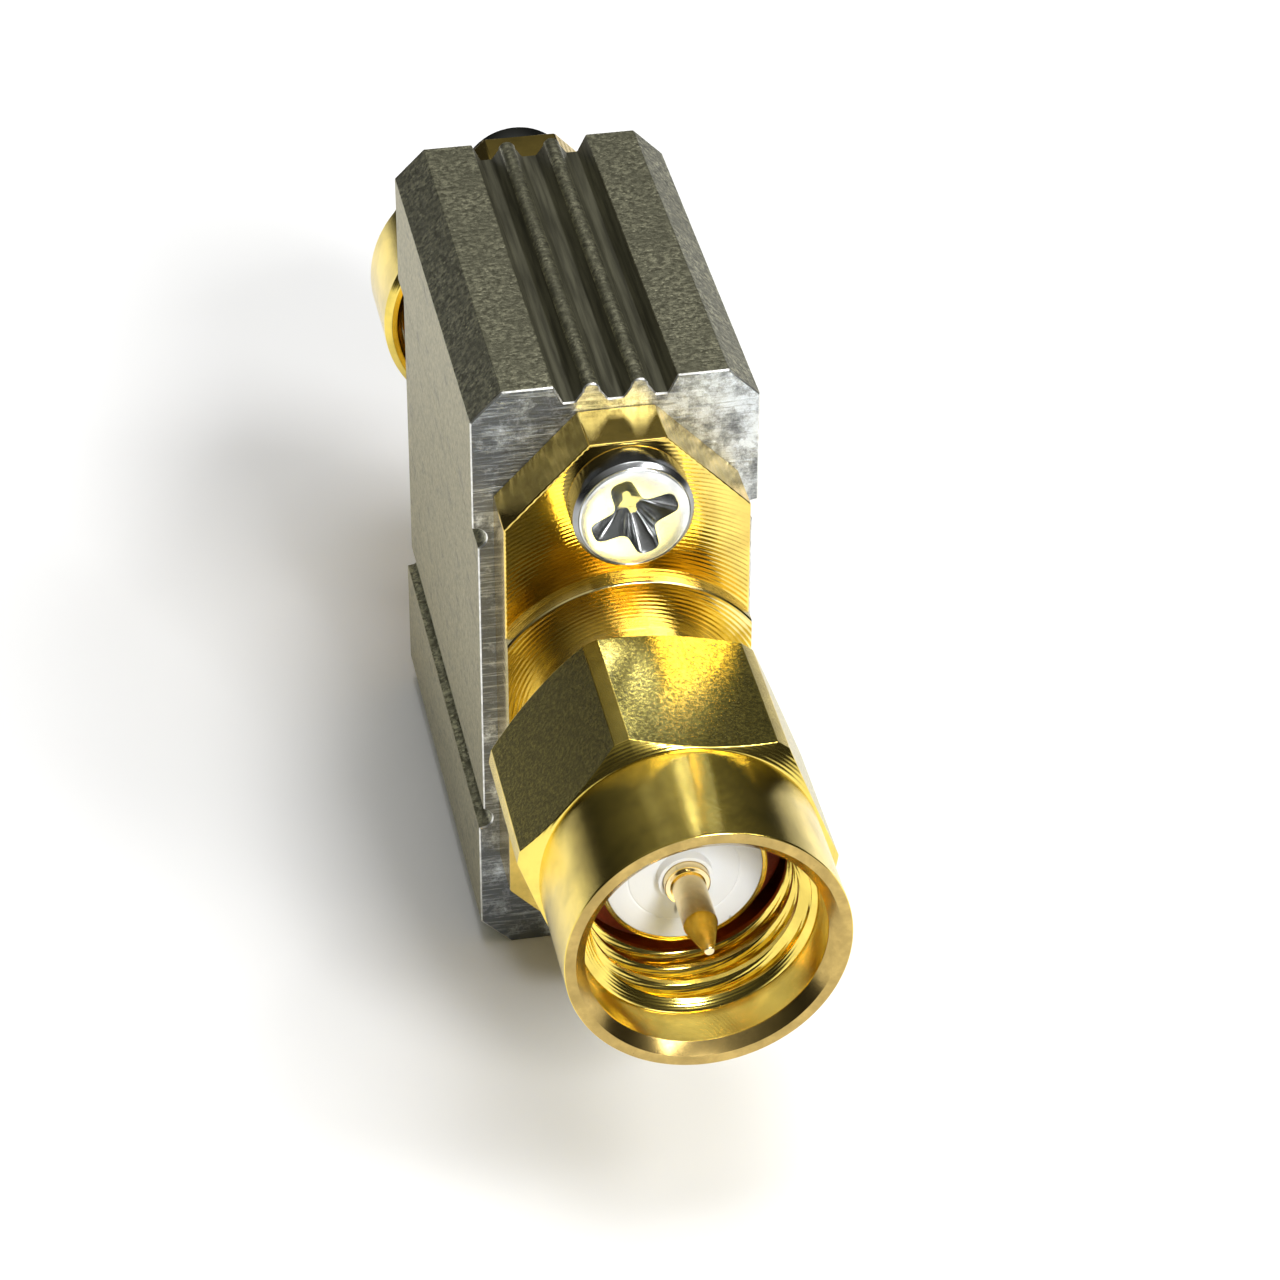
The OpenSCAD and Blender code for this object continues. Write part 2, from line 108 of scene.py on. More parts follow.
class HousingSizes(bpy.types.PropertyGroup):
    """Sizes of the extruded housing."""

    long: length("Length", "Length between the two sawn ends", 14)
    wide: length("Width", "Width of the narrow edge", 8.2)
    high: length("Height", "Height from narrow edge to narrow edge", 19.4)
    chamfer: length("Chamfer", "Chamfer along the long corners", 0.9)
    mouth: length("Channel mouth", "Width of the ribbed channel at its mouth", 3.5)
    floor: length("Channel floor", "Width of the ribbed channel at its floor", 2.95)
    depth: length("Channel depth", "Depth of the ribbed channel", 0.55)
    rib_pitch: length("Rib distance", "Distance between the two ribs", 1.36)
    rib_foot: length("Rib foot", "Width of a rib at its foot", 0.94)
    rib_top: length("Rib top", "Width of a rib at its rounded top", 0.5)
    field: length("Field height", "Height of the shallow field on the wide sides", 9.9)
    field_depth: length("Field depth", "Depth of that field", 0.15)
    groove: length("Groove width", "Width of the long side grooves", 0.65)
    groove_depth: length("Groove depth", "Depth of the long side grooves", 0.4)
    cavity_wide: length("Cavity width", "Width of the cavity", 5.8)
    cavity_high: length("Cavity height", "Height of the cavity", 10)
    slot_depth: length("Slot depth", "Depth of the board's slots", 0.4)
    slot_wide: length("Slot width", "Width of the board's slots", 0.92)
    slot_off: length("Slot offset", "Distance from the middle to the near side of the slots", 0.24)
    soft: length("Edge rounding", "Rounding of the extruded edges", 0.06)
    burr: length("End rounding", "Rounding of the sawn edges", 0.07)


class FlangeSizes(bpy.types.PropertyGroup):
    """Sizes shared by the two flanges."""

    wide: length("Width", "Width of the flange", 7)
    high: length("Height", "Height from tip to tip", 17.7)
    straight: length("Straight side", "Height of the flange's straight sides", 12.7)
    tip: length("Tip", "Width of the flat at each tip", 2.2)
    thick: length("Thickness", "Thickness of the flange", 1.8)
    soft: length("Edge rounding", "Rounding of the milled edges", 0.07)
    hub: length("Hub diameter", "Diameter of the raised hub", 8.8)
    hub_high: length("Hub height", "Height of the raised hub", 0.35)
    hub_soft: length("Hub rounding", "Rounding of the hub's edge", 0.12)
    hole: length("Hole diameter", "Diameter of the screw holes", 2.2)
    seat: length("Seat diameter", "Diameter of the insulator's seat", 4.38)


class PlugSizes(bpy.types.PropertyGroup):
    """Sizes of the plug's neck, sleeve, insulator, pin and gasket."""

    neck: length("Neck diameter", "Diameter of the neck", 5.8)
    neck_end: length("Neck end", "Distance from the housing to the neck's shoulder", 8)
    ring_at: length("Ring place", "Distance from the housing to the snap ring", 6.2)
    ring_wide: length("Ring groove width", "Width of the snap ring's groove", 0.56)
    ring_deep: length("Ring groove depth", "Depth of the groove in the neck", 0.36)
    sleeve: length("Sleeve diameter", "Outside diameter of the front sleeve", 4.64)
    sleeve_end: length("Sleeve end", "Distance from the housing to the sleeve's rim", 9.8)
    insulator: length("Insulator diameter", "Diameter of the insulators", 4.36)
    bore: length("Insulator bore", "Bore round the contacts", 1.29)
    boss_wall: length("Boss wall", "Wall of the boss round the pin's shank", 0.12)
    boss_high: length("Boss height", "Height of that boss", 0.3)
    mark: length("Mark diameter", "Diameter of the faint ring in the insulator's face", 3.1)
    mark_wide: length("Mark width", "Width of that ring", 0.07)
    mark_deep: length("Mark depth", "Depth of that ring", 0.025)
    shank: length("Shank diameter", "Diameter of the contacts' shank", 1.27)
    shank_end: length("Shank end", "Distance from the housing to the shank's shoulder", 10.35)
    pin: length("Pin diameter", "Diameter of the centre pin", 0.94)
    pin_end: length("Pin end", "Distance from the housing to the pin's tip", 13.2)
    point: length("Point length", "Length of the pin's conical point", 1.15)
    point_tip: length("Point tip", "Diameter of the blunt tip", 0.26)
    tail: length("Tail length", "Length of the tails inside the housing", 2.9)
    tail_flat: length("Tail flat", "Distance from the axis to the tail's flat", 0.3)
    gasket: length("Gasket diameter", "Outside diameter of the gasket", 6.1)
    gasket_thick: length("Gasket thickness", "Thickness of the gasket", 0.85)


class NutSizes(bpy.types.PropertyGroup):
    """Sizes of the hexagon coupling nut and the round jack nut."""

    flats: length("Across flats", "Size of the hexagon across its flats", 8)
    corner_cut: length("Corner cut", "Height turned off each corner", 0.12)
    back: length("Back", "Distance from the housing to the coupling nut's back", 4.2)
    hex_end: length("Hexagon end", "Distance from the housing to the end of the hexagon", 9.5)
    front: length("Front", "Distance from the housing to the front rim", 13.2)
    collar: length("Collar diameter", "Outside diameter of the round collar", 7.84)
    rim: length("Rim bore", "Diameter inside the rim", 7.2)
    mouth: length("Mouth diameter", "Diameter of the plain mouth", 6.6)
    mouth_deep: length("Mouth depth", "Depth of the plain mouth", 1.5)
    mouth_chamfer: length("Mouth chamfer", "Chamfer inside the rim", 0.3)
    bore: length("Bore", "Bore that runs on the neck", 5.9)
    ring_bore: length("Ring bore", "Diameter of the ring groove in the nut", 6.31)
    runout: length("Run-out diameter", "Diameter behind the thread", 6.6)
    thread_from: length("Thread start", "Distance from the housing to the thread's inner end", 9.1)
    root: length("Thread root", "Diameter at the roots of the nut's thread", 6.4)
    crest: length("Thread crest", "Diameter at the crests of the nut's thread", 5.75)
    pitch: length("Thread pitch", "Pitch of the nut's and the jack's thread", 0.7056)
    turn: angle("Turn", "Angle at which the coupling nut came to rest", 50.8)
    soft: length("Edge rounding", "Rounding of the milled edges", 0.07)
    jack_at: length("Jack nut place", "Distance from the housing to the jack nut", 5.8)
    jack_thick: length("Jack nut thickness", "Thickness of the jack nut", 3.5)
    jack_wide: length("Jack nut diameter", "Outside diameter of the jack nut", 7.6)
    jack_chamfer: length("Jack nut chamfer", "Chamfer on both ends of the jack nut", 0.2)
    jack_slot: length("Jack nut slot", "Width of the spanner slots", 1.2)
    jack_slot_deep: length("Jack nut slot depth", "Depth of the spanner slots", 0.8)
    jack_bore: length("Jack nut bore", "Bore of the jack nut", 6.45)
    jack_turn: angle("Jack nut turn", "Angle at which the jack nut came to rest", 62)


class JackSizes(bpy.types.PropertyGroup):
    """Sizes of the threaded jack and its contact."""

    thread: length("Thread diameter", "Outside diameter of the thread", 6.35)
    core: length("Core diameter", "Diameter at the roots of the thread", 5.6)
    end: length("End", "Distance from the housing to the rim", 10.8)
    chamfer: length("Chamfer", "Chamfer at the start of the thread", 0.35)
    socket: length("Socket diameter", "Diameter of the counterbore", 4.74)
    socket_deep: length("Socket depth", "Depth of the counterbore", 1.9)
    contact_bore: length("Contact bore", "Bore of the centre contact", 0.96)
    contact_deep: length("Contact depth", "Depth of that bore", 3)
    slot: length("Slot width", "Width of the contact's slots", 0.16)
    slot_long: length("Slot length", "Length of the contact's slots", 2.2)


class ScrewSizes(bpy.types.PropertyGroup):
    """Sizes of the four screws, and the angles at which they came to rest."""

    apart: length("Distance", "Distance between the two screws of a flange", 14)
    shank: length("Diameter", "Thread diameter", 2)
    core: length("Core diameter", "Diameter at the roots of the thread", 1.56)
    pitch: length("Pitch", "Pitch of the thread", 0.4)
    long: length("Length", "Length under the head", 5)
    head: length("Head diameter", "Diameter of the head", 3.42)
    head_high: length("Head height", "Height of the head", 1)
    bevel: length("Head bevel", "Width of the bevel round the head", 0.13)
    recess: length("Recess span", "Span of the cross recess", 2.6)
    wing: length("Recess wing", "Width of a recess wing", 0.66)
    recess_deep: length("Recess depth", "Depth of the cross recess", 0.8)
    plug_upper: angle("Plug upper", "Turn of the plug's upper screw", 20)
    plug_lower: angle("Plug lower", "Turn of the plug's lower screw", 57)
    jack_upper: angle("Jack upper", "Turn of the jack's upper screw", 68)
    jack_lower: angle("Jack lower", "Turn of the jack's lower screw", 11)


class Finishes(bpy.types.PropertyGroup):
    """Colours and polish of the materials."""

    aluminium: tint("Aluminium", "Blasted aluminium of the housing", 0.5, 0.485, 0.34)
    drawn: tint("Drawn aluminium", "Smooth aluminium of the wide sides", 0.35, 0.315, 0.17)
    sawn: tint("Sawn aluminium", "Aluminium of the sawn ends", 0.42, 0.45, 0.48)
    # The burr's pale tone is a painted highlight along the rounded sawn edges.
    burr: tint("Burr", "Bright edge round the sawn ends", 0.8, 0.8, 0.76)
    gold: tint("Gold plate", "Gold plate of the two connector bodies", 0.94, 0.68, 0.17)
    # The neck's paler gold is a painted highlight on the neck, sleeve and hub face.
    neck_gold: tint("Neck gold", "Paler gold plate of the plug's neck", 0.94, 0.78, 0.32)
    nut_gold: tint("Nut gold", "Gold plate of the nuts", 0.9, 0.69, 0.15)
    flat_gold: tint("Flat gold", "Satin gold of the nut's milled flats", 0.7, 0.59, 0.16)
    # The rim's darker tone is painted shade; the stains and pits on it are real.
    rim: tint("Worn rim", "Rubbed gold plate at the rim of the coupling nut", 0.55, 0.39, 0.13)
    contact: tint("Contact gold", "Gold plate of the contacts", 0.92, 0.75, 0.42)
    nickel: tint("Nickel", "Nickel plate of the screws", 0.84, 0.86, 0.86)
    insulator: tint("Insulator", "White plastic of the insulators", 0.9, 0.94, 1.0)
    gasket: tint("Gasket", "Red rubber of the gasket", 0.4, 0.07, 0.03)
    bronze: tint("Bronze", "Bronze of the snap ring", 0.6, 0.45, 0.28)
    board: tint("Board", "Green lacquer of the board", 0.05, 0.22, 0.1)
    ceramic: tint("Ceramic", "Base of the filter element", 0.75, 0.7, 0.56)
    ferrite: tint("Ferrite", "Body of the inductors", 0.09, 0.12, 0.1)
    chip: tint("Chip", "Body of the capacitors", 0.45, 0.3, 0.19)
    tin: tint("Tin", "Solder and plated chip ends", 0.72, 0.73, 0.75)
    gold_polish: amount("Gold roughness", "Roughness of the turned gold", 0.11)
    nut_polish: amount("Nut roughness", "Roughness of the turned parts of the nuts", 0.14)
    flat_polish: amount("Flat roughness", "Roughness of the nut's flats", 0.24)


class StudioSizes(bpy.types.PropertyGroup):
    """Floor, lamps, room and camera."""

    floor: length("Floor", "Side of the floor", 1600)
    floor_shade: amount("Floor shade", "Brightness of the pale floor", 0.93)
    fade_from: length("Fade start", "Distance at which the floor starts to darken", 72)
    fade_to: length("Fade end", "Distance at which the floor is darkest", 210)
    far_shade: amount("Far shade", "Brightness of the floor far from the object", 0.12)
    key: length("Key lamp", "Side of the key lamp, in front of the plug and above it", 125)
    key_power: amount("Key power", "Power of the key lamp in watts", 1.9, 100)
    side: length("Side lamp", "Side of the lamp to the right", 210)
    side_power: amount("Side power", "Power of the side lamp in watts", 1.3, 100)
    top: length("Top lamp", "Side of the overhead lamp", 260)
    top_power: amount("Top power", "Power of the overhead lamp in watts", 1.1, 100)
    horizon: amount("Horizon", "Brightness of the room at the horizon", 0.025)
    zenith: amount("Zenith", "Brightness of the room overhead", 0.5)
    eye_x: number("Eye X", "Camera place", -0.01952, unit="LENGTH")
    eye_y: number("Eye Y", "Camera place", -0.10815, unit="LENGTH")
    eye_z: number("Eye Z", "Camera place", 0.08431, unit="LENGTH")
    yaw: angle("Yaw", "Turn of the view from the plug's axis", 11.1772)
    pitch: angle("Pitch", "Downward tilt of the view", 35.2598)
    roll: angle("Roll", "Roll of the view", -0.1719)
    lens: amount("Lens", "Focal length in millimetres", 124.88, 500)


SETTINGS = {
    "filter_housing": HousingSizes,
    "filter_flange": FlangeSizes,
    "filter_plug": PlugSizes,
    "filter_nut": NutSizes,
    "filter_jack": JackSizes,
    "filter_screw": ScrewSizes,
    "filter_finish": Finishes,
    "filter_studio": StudioSizes,
}


def sizes(*names):
    """The lengths of some settings groups in millimetres, and their other numbers as they are."""
    groups = []
    for name in names:
        group = getattr(bpy.context.scene, f"filter_{name}")
        values = {}
        for key, prop in group.bl_rna.properties.items():
            if prop.type == "FLOAT":
                value = getattr(group, key)
                values[key] = value / MM if prop.unit == "LENGTH" else value
        groups.append(SimpleNamespace(**values))
    return groups[0] if len(groups) == 1 else groups


def hue(name):
    """A colour of the finishes."""
    return tuple(getattr(bpy.context.scene.filter_finish, name))


# Modelling helpers. Pieces are modelled in millimetres with z pointing out of a connector.


def solo(piece=None):
    """Leaves edit mode, deselects everything and selects one piece."""
    if bpy.context.object and bpy.context.object.mode != "OBJECT":
        bpy.ops.object.mode_set(mode="OBJECT")
    bpy.ops.object.select_all(action="DESELECT")
    if piece:
        piece.select_set(True)
        bpy.context.view_layer.objects.active = piece
    return piece


def edit(piece):
    """Opens a piece in edit mode with all of it selected."""
    solo(piece)
    bpy.ops.object.mode_set(mode="EDIT")
    bpy.ops.mesh.select_all(action="SELECT")


def done():
    """Back to object mode."""
    bpy.ops.object.mode_set(mode="OBJECT")


def settled(piece):
    """Moves the place, turn and scale of the active piece into its mesh."""
    bpy.ops.object.transform_apply(location=True, rotation=True, scale=True)
    return piece


def tidy(piece):
    """Merges doubles and turns all faces outwards."""
    edit(piece)
    bpy.ops.mesh.remove_doubles(threshold=MERGE)
    bpy.ops.mesh.normals_make_consistent(inside=False)
    done()
    return piece


def arc(x, y, radius, start, stop, steps=8):
    """Points along an arc round a centre, from one angle to another."""
    swings = [start + (stop - start) * step / steps for step in range(steps + 1)]
    return [(x + radius * math.cos(swing), y + radius * math.sin(swing)) for swing in swings]


def softened(points, radius, closed=True, steps=3, least=0.35):
    """The same outline with short arcs at the corners that turn by more than the least angle."""
    made = []
    last = len(points) - 1
    for i, point in enumerate(points):
        here = Vector(point)
        back = Vector(points[i - 1]) - here
        ahead = Vector(points[0 if i == last else i + 1]) - here
        ends = not closed and i in (0, last)
        turning = 0 if ends or min(back.length, ahead.length) < 1e-6 else (-back).angle(ahead)
        if turning < least:
            made.append(tuple(here))
            continue
        reach = radius * math.tan(turning / 2)
        start = here + back.normalized() * min(reach, back.length * 0.45)
        stop = here + ahead.normalized() * min(reach, ahead.length * 0.45)
        for step in range(steps + 1):
            t = step / steps
            made.append(tuple(start * (1 - t) ** 2 + here * 2 * t * (1 - t) + stop * t**2))
    return made


def trace(name, points, closed=True):
    """A wire drawn through points by extruding one vertex from place to place."""
    solo()
    bpy.ops.mesh.primitive_plane_add(size=1)
    piece = bpy.context.object
    piece.name = name
    edit(piece)
    bpy.ops.mesh.merge(type="CENTER")
    here = Vector(points[0])
    bpy.ops.transform.translate(value=here)
    for point in list(points[1:]) + ([points[0]] if closed else []):
        there = Vector(point)
        bpy.ops.mesh.extrude_region_move(TRANSFORM_OT_translate={"value": there - here})
        here = there
    bpy.ops.mesh.select_all(action="SELECT")
    bpy.ops.mesh.remove_doubles(threshold=MERGE)
    done()
    return piece


def turned(name, profile, soft=0.0, closed=False, wheel=WHEEL, **corners):
    """A turned solid from a profile of (radius, z) points, with its corners rounded where soft is given."""
    if soft:
        profile = softened(profile, soft, closed, **corners)
    piece = trace(name, [(r, 0, z) for r, z in profile], closed)
    edit(piece)
    bpy.ops.mesh.spin(steps=wheel, angle=TURN, center=(0, 0, 0), axis=(0, 0, 1))
    return tidy(piece)


def prism(name, outline, low, high):
    """A solid with a flat outline of (x, y) points between two heights."""
    piece = trace(name, [(x, y, low) for x, y in outline])
    edit(piece)
    bpy.ops.mesh.edge_face_add()
    bpy.ops.mesh.extrude_region_move(TRANSFORM_OT_translate={"value": (0, 0, high - low)})
    return tidy(piece)


def block(name, low, high):
    """A plain block between two corners, used as a cutter."""
    solo()
    low, high = Vector(low), Vector(high)
    bpy.ops.mesh.primitive_cube_add(size=1, location=(low + high) / 2, scale=high - low)
    piece = bpy.context.object
    piece.name = name
    return settled(piece)


def rod(name, radius, low, high, up=0.0, steps=WHEEL):
    """A plain round rod between two heights, used as a cutter."""
    solo()
    middle = (0, up, (low + high) / 2)
    bpy.ops.mesh.primitive_cylinder_add(vertices=steps, radius=radius, depth=high - low, location=middle)
    piece = bpy.context.object
    piece.name = name
    return settled(piece)


def slice_off(piece, point, normal):
    """Cuts away what lies beyond a plane and closes the cut."""
    edit(piece)
    bpy.ops.mesh.bisect(plane_co=point, plane_no=normal, use_fill=True, clear_outer=True, threshold=MERGE)
    done()
    return piece


def apply_modifiers(piece):
    """Applies every modifier of a piece."""
    solo(piece)
    for modifier in list(piece.modifiers):
        bpy.ops.object.modifier_apply(modifier=modifier.name)
    return piece


def eased(piece, width, segments, limit):
    """Rounds the edges of a piece that are sharper than a limit in degrees."""
    bevel = piece.modifiers.new("edges", "BEVEL")
    bevel.width = width
    bevel.segments = segments
    bevel.limit_method = "ANGLE"
    bevel.angle_limit = math.radians(limit)
    return apply_modifiers(piece)


def combined(piece, other, operation):
    """Adds, cuts or keeps the common part of two solids."""
    boolean = piece.modifiers.new("solids", "BOOLEAN")
    boolean.operation = operation
    boolean.solver = "EXACT"
    boolean.object = other
    apply_modifiers(piece)
    bpy.data.objects.remove(other)
    return piece


def added(piece, other):
    """Melts another solid into a piece."""
    return combined(piece, other, "UNION")


def cut(piece, cutter):
    """Cuts another solid out of a piece."""
    return combined(piece, cutter, "DIFFERENCE")


def joined(piece, other):
    """Joins another shell to a piece as it is."""
    solo(piece)
    other.select_set(True)
    bpy.ops.object.join()
    return piece


def thread(root, crest, pitch, land, sunk, low, high, steps=TINY_WHEEL):
    """A right-hand thread ridge from root to crest, with its foot sunk into the solid that it joins."""
    rise = abs(crest - root) * FLANK + land
    foot = root - math.copysign(sunk, crest - root)
    tooth = [(foot, -rise), (root, -rise), (crest, -land), (crest, land), (root, rise), (foot, rise)]
    turns = (high - low) / pitch
    piece = trace("ridge", [(r, 0, low + z) for r, z in tooth])
    screw = piece.modifiers.new("thread", "SCREW")
    screw.axis = "Z"
    screw.angle = TURN * turns
    screw.screw_offset = high - low
    screw.steps = screw.render_steps = int(steps * turns)
    screw.use_merge_vertices = False
    apply_modifiers(piece)
    edit(piece)
    bpy.ops.mesh.select_all(action="DESELECT")
    bpy.ops.mesh.select_mode(type="EDGE")
    bpy.ops.mesh.select_non_manifold()
    bpy.ops.mesh.edge_face_add()
    bpy.ops.mesh.select_all(action="SELECT")
    bpy.ops.mesh.select_mode(type="VERT")
    done()
    return tidy(piece)


def copied(piece, name):
    """A copy with its own mesh."""
    solo(piece)
    bpy.ops.object.duplicate()
    made = bpy.context.object
    made.name = name
    return made


def placed(piece, end, turn=0.0, up=0.0):
    """Turns a piece about its axis and sets it on the plug's or the jack's end of the housing."""
    solo(piece)
    piece.rotation_euler = (0, 0, turn)
    settled(piece)
    low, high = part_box("housing")
    jack = end == "jack"
    piece.rotation_euler = (math.pi / 2, 0, math.pi if jack else 0)
    piece.location = (0, high.y if jack else low.y, (sizes("housing").high / 2 + up) * MM)
    piece.scale = (MM, MM, MM)
    return settled(piece)


def shaded(piece, limit=32):
    """Clears slivers that the cuts left, then shades smoothly with flat faces kept flat."""
    edit(piece)
    bpy.ops.mesh.remove_doubles(threshold=SEAM)
    bpy.ops.mesh.dissolve_degenerate(threshold=SEAM)
    done()
    solo(piece)
    bpy.ops.object.shade_smooth_by_angle(angle=math.radians(limit))
    weights = piece.modifiers.new("flat faces", "WEIGHTED_NORMAL")
    weights.keep_sharp = True
    return apply_modifiers(piece)


def fitted(piece, body, node, slot, *materials):
    """Makes a piece ride on its body in place of its node, with its materials."""
    for made in materials:
        piece.data.materials.append(made)
    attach(piece, body)
    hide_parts(node)
    return piece


def repainted(piece, material, test):
    """Gives another of the piece's materials to the faces whose centre, normal and area pass a test."""
    index = piece.data.materials.find(material)
    for face in piece.data.polygons:
        if test(face.center, face.normal, face.area):
            face.material_index = index


# Materials


def wired(tree, kind, values, **options):
    """A new node: values are outputs to link or constants to set on its inputs."""
    node = tree.nodes.new(f"ShaderNode{kind}")
    for name, option in options.items():
        setattr(node, name, option)
    for socket, value in values.items():
        if isinstance(value, bpy.types.NodeSocket):
            tree.links.new(value, node.inputs[socket])
        else:
            node.inputs[socket].default_value = value
    return node


def ramped(tree, factor, stops):
    """A colour ramp of (position, colour or brightness) stops in rising order."""
    node = wired(tree, "ValToRGB", {"Fac": factor})
    bar = node.color_ramp.elements
    while len(bar) < len(stops):
        bar.new(0.5)
    for stop, (position, shade) in zip(bar, stops):
        stop.position = position
        stop.color = (shade, shade, shade, 1) if isinstance(shade, float) else (*shade, 1)
    return node.outputs["Color"]


def scaled(colour, factor):
    """A lighter or darker version of a colour."""
    return tuple(min(1.0, c * factor) for c in colour)


class Paint:
    """A small builder for one procedural material, whose tone is its own colour."""

    def __init__(self, name, tone, roughness, metallic=0.0):
        self.material = bpy.data.materials.new(name)
        self.material.use_nodes = True
        self.tree = self.material.node_tree
        self.shader = self.tree.nodes["Principled BSDF"]
        self.tone = tone
        self.put("Base Color", (*tone, 1))
        self.put("Roughness", roughness)
        self.put("Metallic", metallic)
        self.place = wired(self.tree, "TexCoord", {}).outputs["Object"]
        self.normal = None

    def put(self, socket, value):
        """Sets a constant on the shader."""
        self.shader.inputs[socket].default_value = value

    def grid(self, stretch=(1, 1, 1), shift=(0, 0, 0), turn=(0, 0, 0)):
        """Object coordinates in millimetres, stretched, turned and shifted."""
        scale = [s / MM for s in stretch]
        values = {"Vector": self.place, "Scale": scale, "Location": shift, "Rotation": turn}
        return wired(self.tree, "Mapping", values).outputs["Vector"]

    def noise(self, scale, detail=3.0, rough=0.55, **lie):
        """Noise with features of about one over scale millimetres."""
        values = {"Vector": self.grid(**lie), "Scale": scale, "Detail": detail, "Roughness": rough}
        return wired(self.tree, "TexNoise", values).outputs["Fac"]

    def cells(self, scale, **lie):
        """Distance to the nearest of many scattered points."""
        values = {"Vector": self.grid(**lie), "Scale": scale}
        return wired(self.tree, "TexVoronoi", values).outputs["Distance"]

    def marks(self, kind, spacing, distortion, **lie):
        """Turning marks: rings round y or bands along it, with a spacing in millimetres."""
        wave = TURN / 20 / spacing
        values = {"Vector": self.grid(**lie), "Scale": wave, "Distortion": distortion, "Detail": 1.5}
        ways = {"wave_type": kind, "rings_direction": "Y", "bands_direction": "Y"}
        return wired(self.tree, "TexWave", values, **ways).outputs["Fac"]

    def along(self, axis, **lie):
        """The coordinate along one axis."""
        return wired(self.tree, "SeparateXYZ", {"Vector": self.grid(**lie)}).outputs[axis]

    def reckon(self, operation, *values):
        """Arithmetic on outputs and numbers."""
        return wired(self.tree, "Math", dict(enumerate(values)), operation=operation).outputs["Value"]

    def span(self, factor, low, high, start=0.0, stop=1.0, how="LINEAR"):
        """Maps a factor from start and stop to low and high."""
        values = {"Value": factor, "From Min": start, "From Max": stop, "To Min": low, "To Max": high}
        return wired(self.tree, "MapRange", values, interpolation_type=how).outputs["Result"]

    def ramp(self, factor, *stops):
        """A ramp of (position, brightness) stops."""
        return ramped(self.tree, factor, stops)

    def tones(self, factor, *stops):
        """A ramp of (position, factor) stops of lighter and darker versions of the tone."""
        return ramped(self.tree, factor, [(position, scaled(self.tone, by)) for position, by in stops])

    def mix(self, mask, first, second):
        """Blends a second colour over a first where a mask is set, each an output or a colour."""
        first, second = (c if isinstance(c, bpy.types.NodeSocket) else (*c, 1) for c in (first, second))
        return wired(self.tree, "Mix", {0: mask, 6: first, 7: second}, data_type="RGBA").outputs[2]

    def over(self, shade, mask, by):
        """Blends a lighter or darker version of the tone over a shade where a mask is set."""
        return self.mix(mask, shade, scaled(self.tone, by))

    def bump(self, height, millimetres, strength):
        """Adds relief of a real depth."""
        values = {"Height": height, "Distance": millimetres * MM, "Strength": strength}
        if self.normal:
            values["Normal"] = self.normal
        self.normal = wired(self.tree, "Bump", values).outputs["Normal"]

    def finish(self, colour, roughness=None):
        """Links what was built to the shader."""
        for socket, output in (("Base Color", colour), ("Roughness", roughness), ("Normal", self.normal)):
            if output:
                self.tree.links.new(output, self.shader.inputs[socket])
        return self.material


def blasted_aluminium():
    """Dull tumbled aluminium with fine sparkle, partly from bumps and partly from painted glints, and faint
    lines along the extrusion.
    """
    paint = Paint("blasted_aluminium", hue("aluminium"), 0.42, 1.0)
    grain = paint.noise(5, 4, 0.75)
    lines = paint.noise(1, 3, stretch=(5, 0.25, 5))
    smears = paint.noise(1, 3, 0.6, stretch=(0.9, 0.8, 0.3))
    shade = paint.tones(grain, (0.4, 0.35), (0.5, 0.85), (0.6, 1.7))
    shade = paint.over(shade, paint.span(lines, 0.0, 0.4), 0.8)
    # Painted glints: small spots of a much lighter tone scattered over the surface.
    shade = paint.over(shade, paint.ramp(paint.cells(4.5), (0.12, 0.8), (0.24, 0.0)), 1.9)
    shade = paint.over(shade, paint.ramp(smears, (0.42, 0.0), (0.62, 0.55)), 0.6)
    paint.bump(lines, 0.02, 0.5)
    paint.bump(grain, 0.035, 0.9)
    return paint.finish(shade, paint.span(grain, 0.48, 0.3))


def channel_aluminium():
    """The floor and low flanks of the ribbed channels, darkened as painted shade."""
    paint = Paint("channel_aluminium", scaled(hue("aluminium"), 0.36), 0.5, 1.0)
    lines = paint.noise(1, 3, stretch=(6, 0.3, 6))
    paint.bump(lines, 0.02, 0.6)
    return paint.finish(paint.tones(lines, (0.35, 0.6), (0.65, 1.3)))


def drawn_aluminium():
    """The wide sides: smooth and warm, with streaks along the extrusion and a few dark scuffs."""
    paint = Paint("drawn_aluminium", hue("drawn"), 0.38, 1.0)
    grain = paint.noise(7, 4, 0.7)
    lines = paint.noise(1, 3, stretch=(4, 0.2, 4))
    scuffs = paint.noise(1.3, 5, 0.7, stretch=(1.2, 0.7, 1.6))
    shade = paint.tones(grain, (0.4, 0.7), (0.6, 1.25))
    shade = paint.over(shade, paint.span(lines, 0.0, 0.4), 0.7)
    shade = paint.over(shade, paint.ramp(scuffs, (0.36, 0.7), (0.43, 0.0)), 0.35)
    paint.bump(lines, 0.015, 0.5)
    paint.bump(grain, 0.012, 0.8)
    return paint.finish(shade, paint.span(grain, 0.45, 0.32))


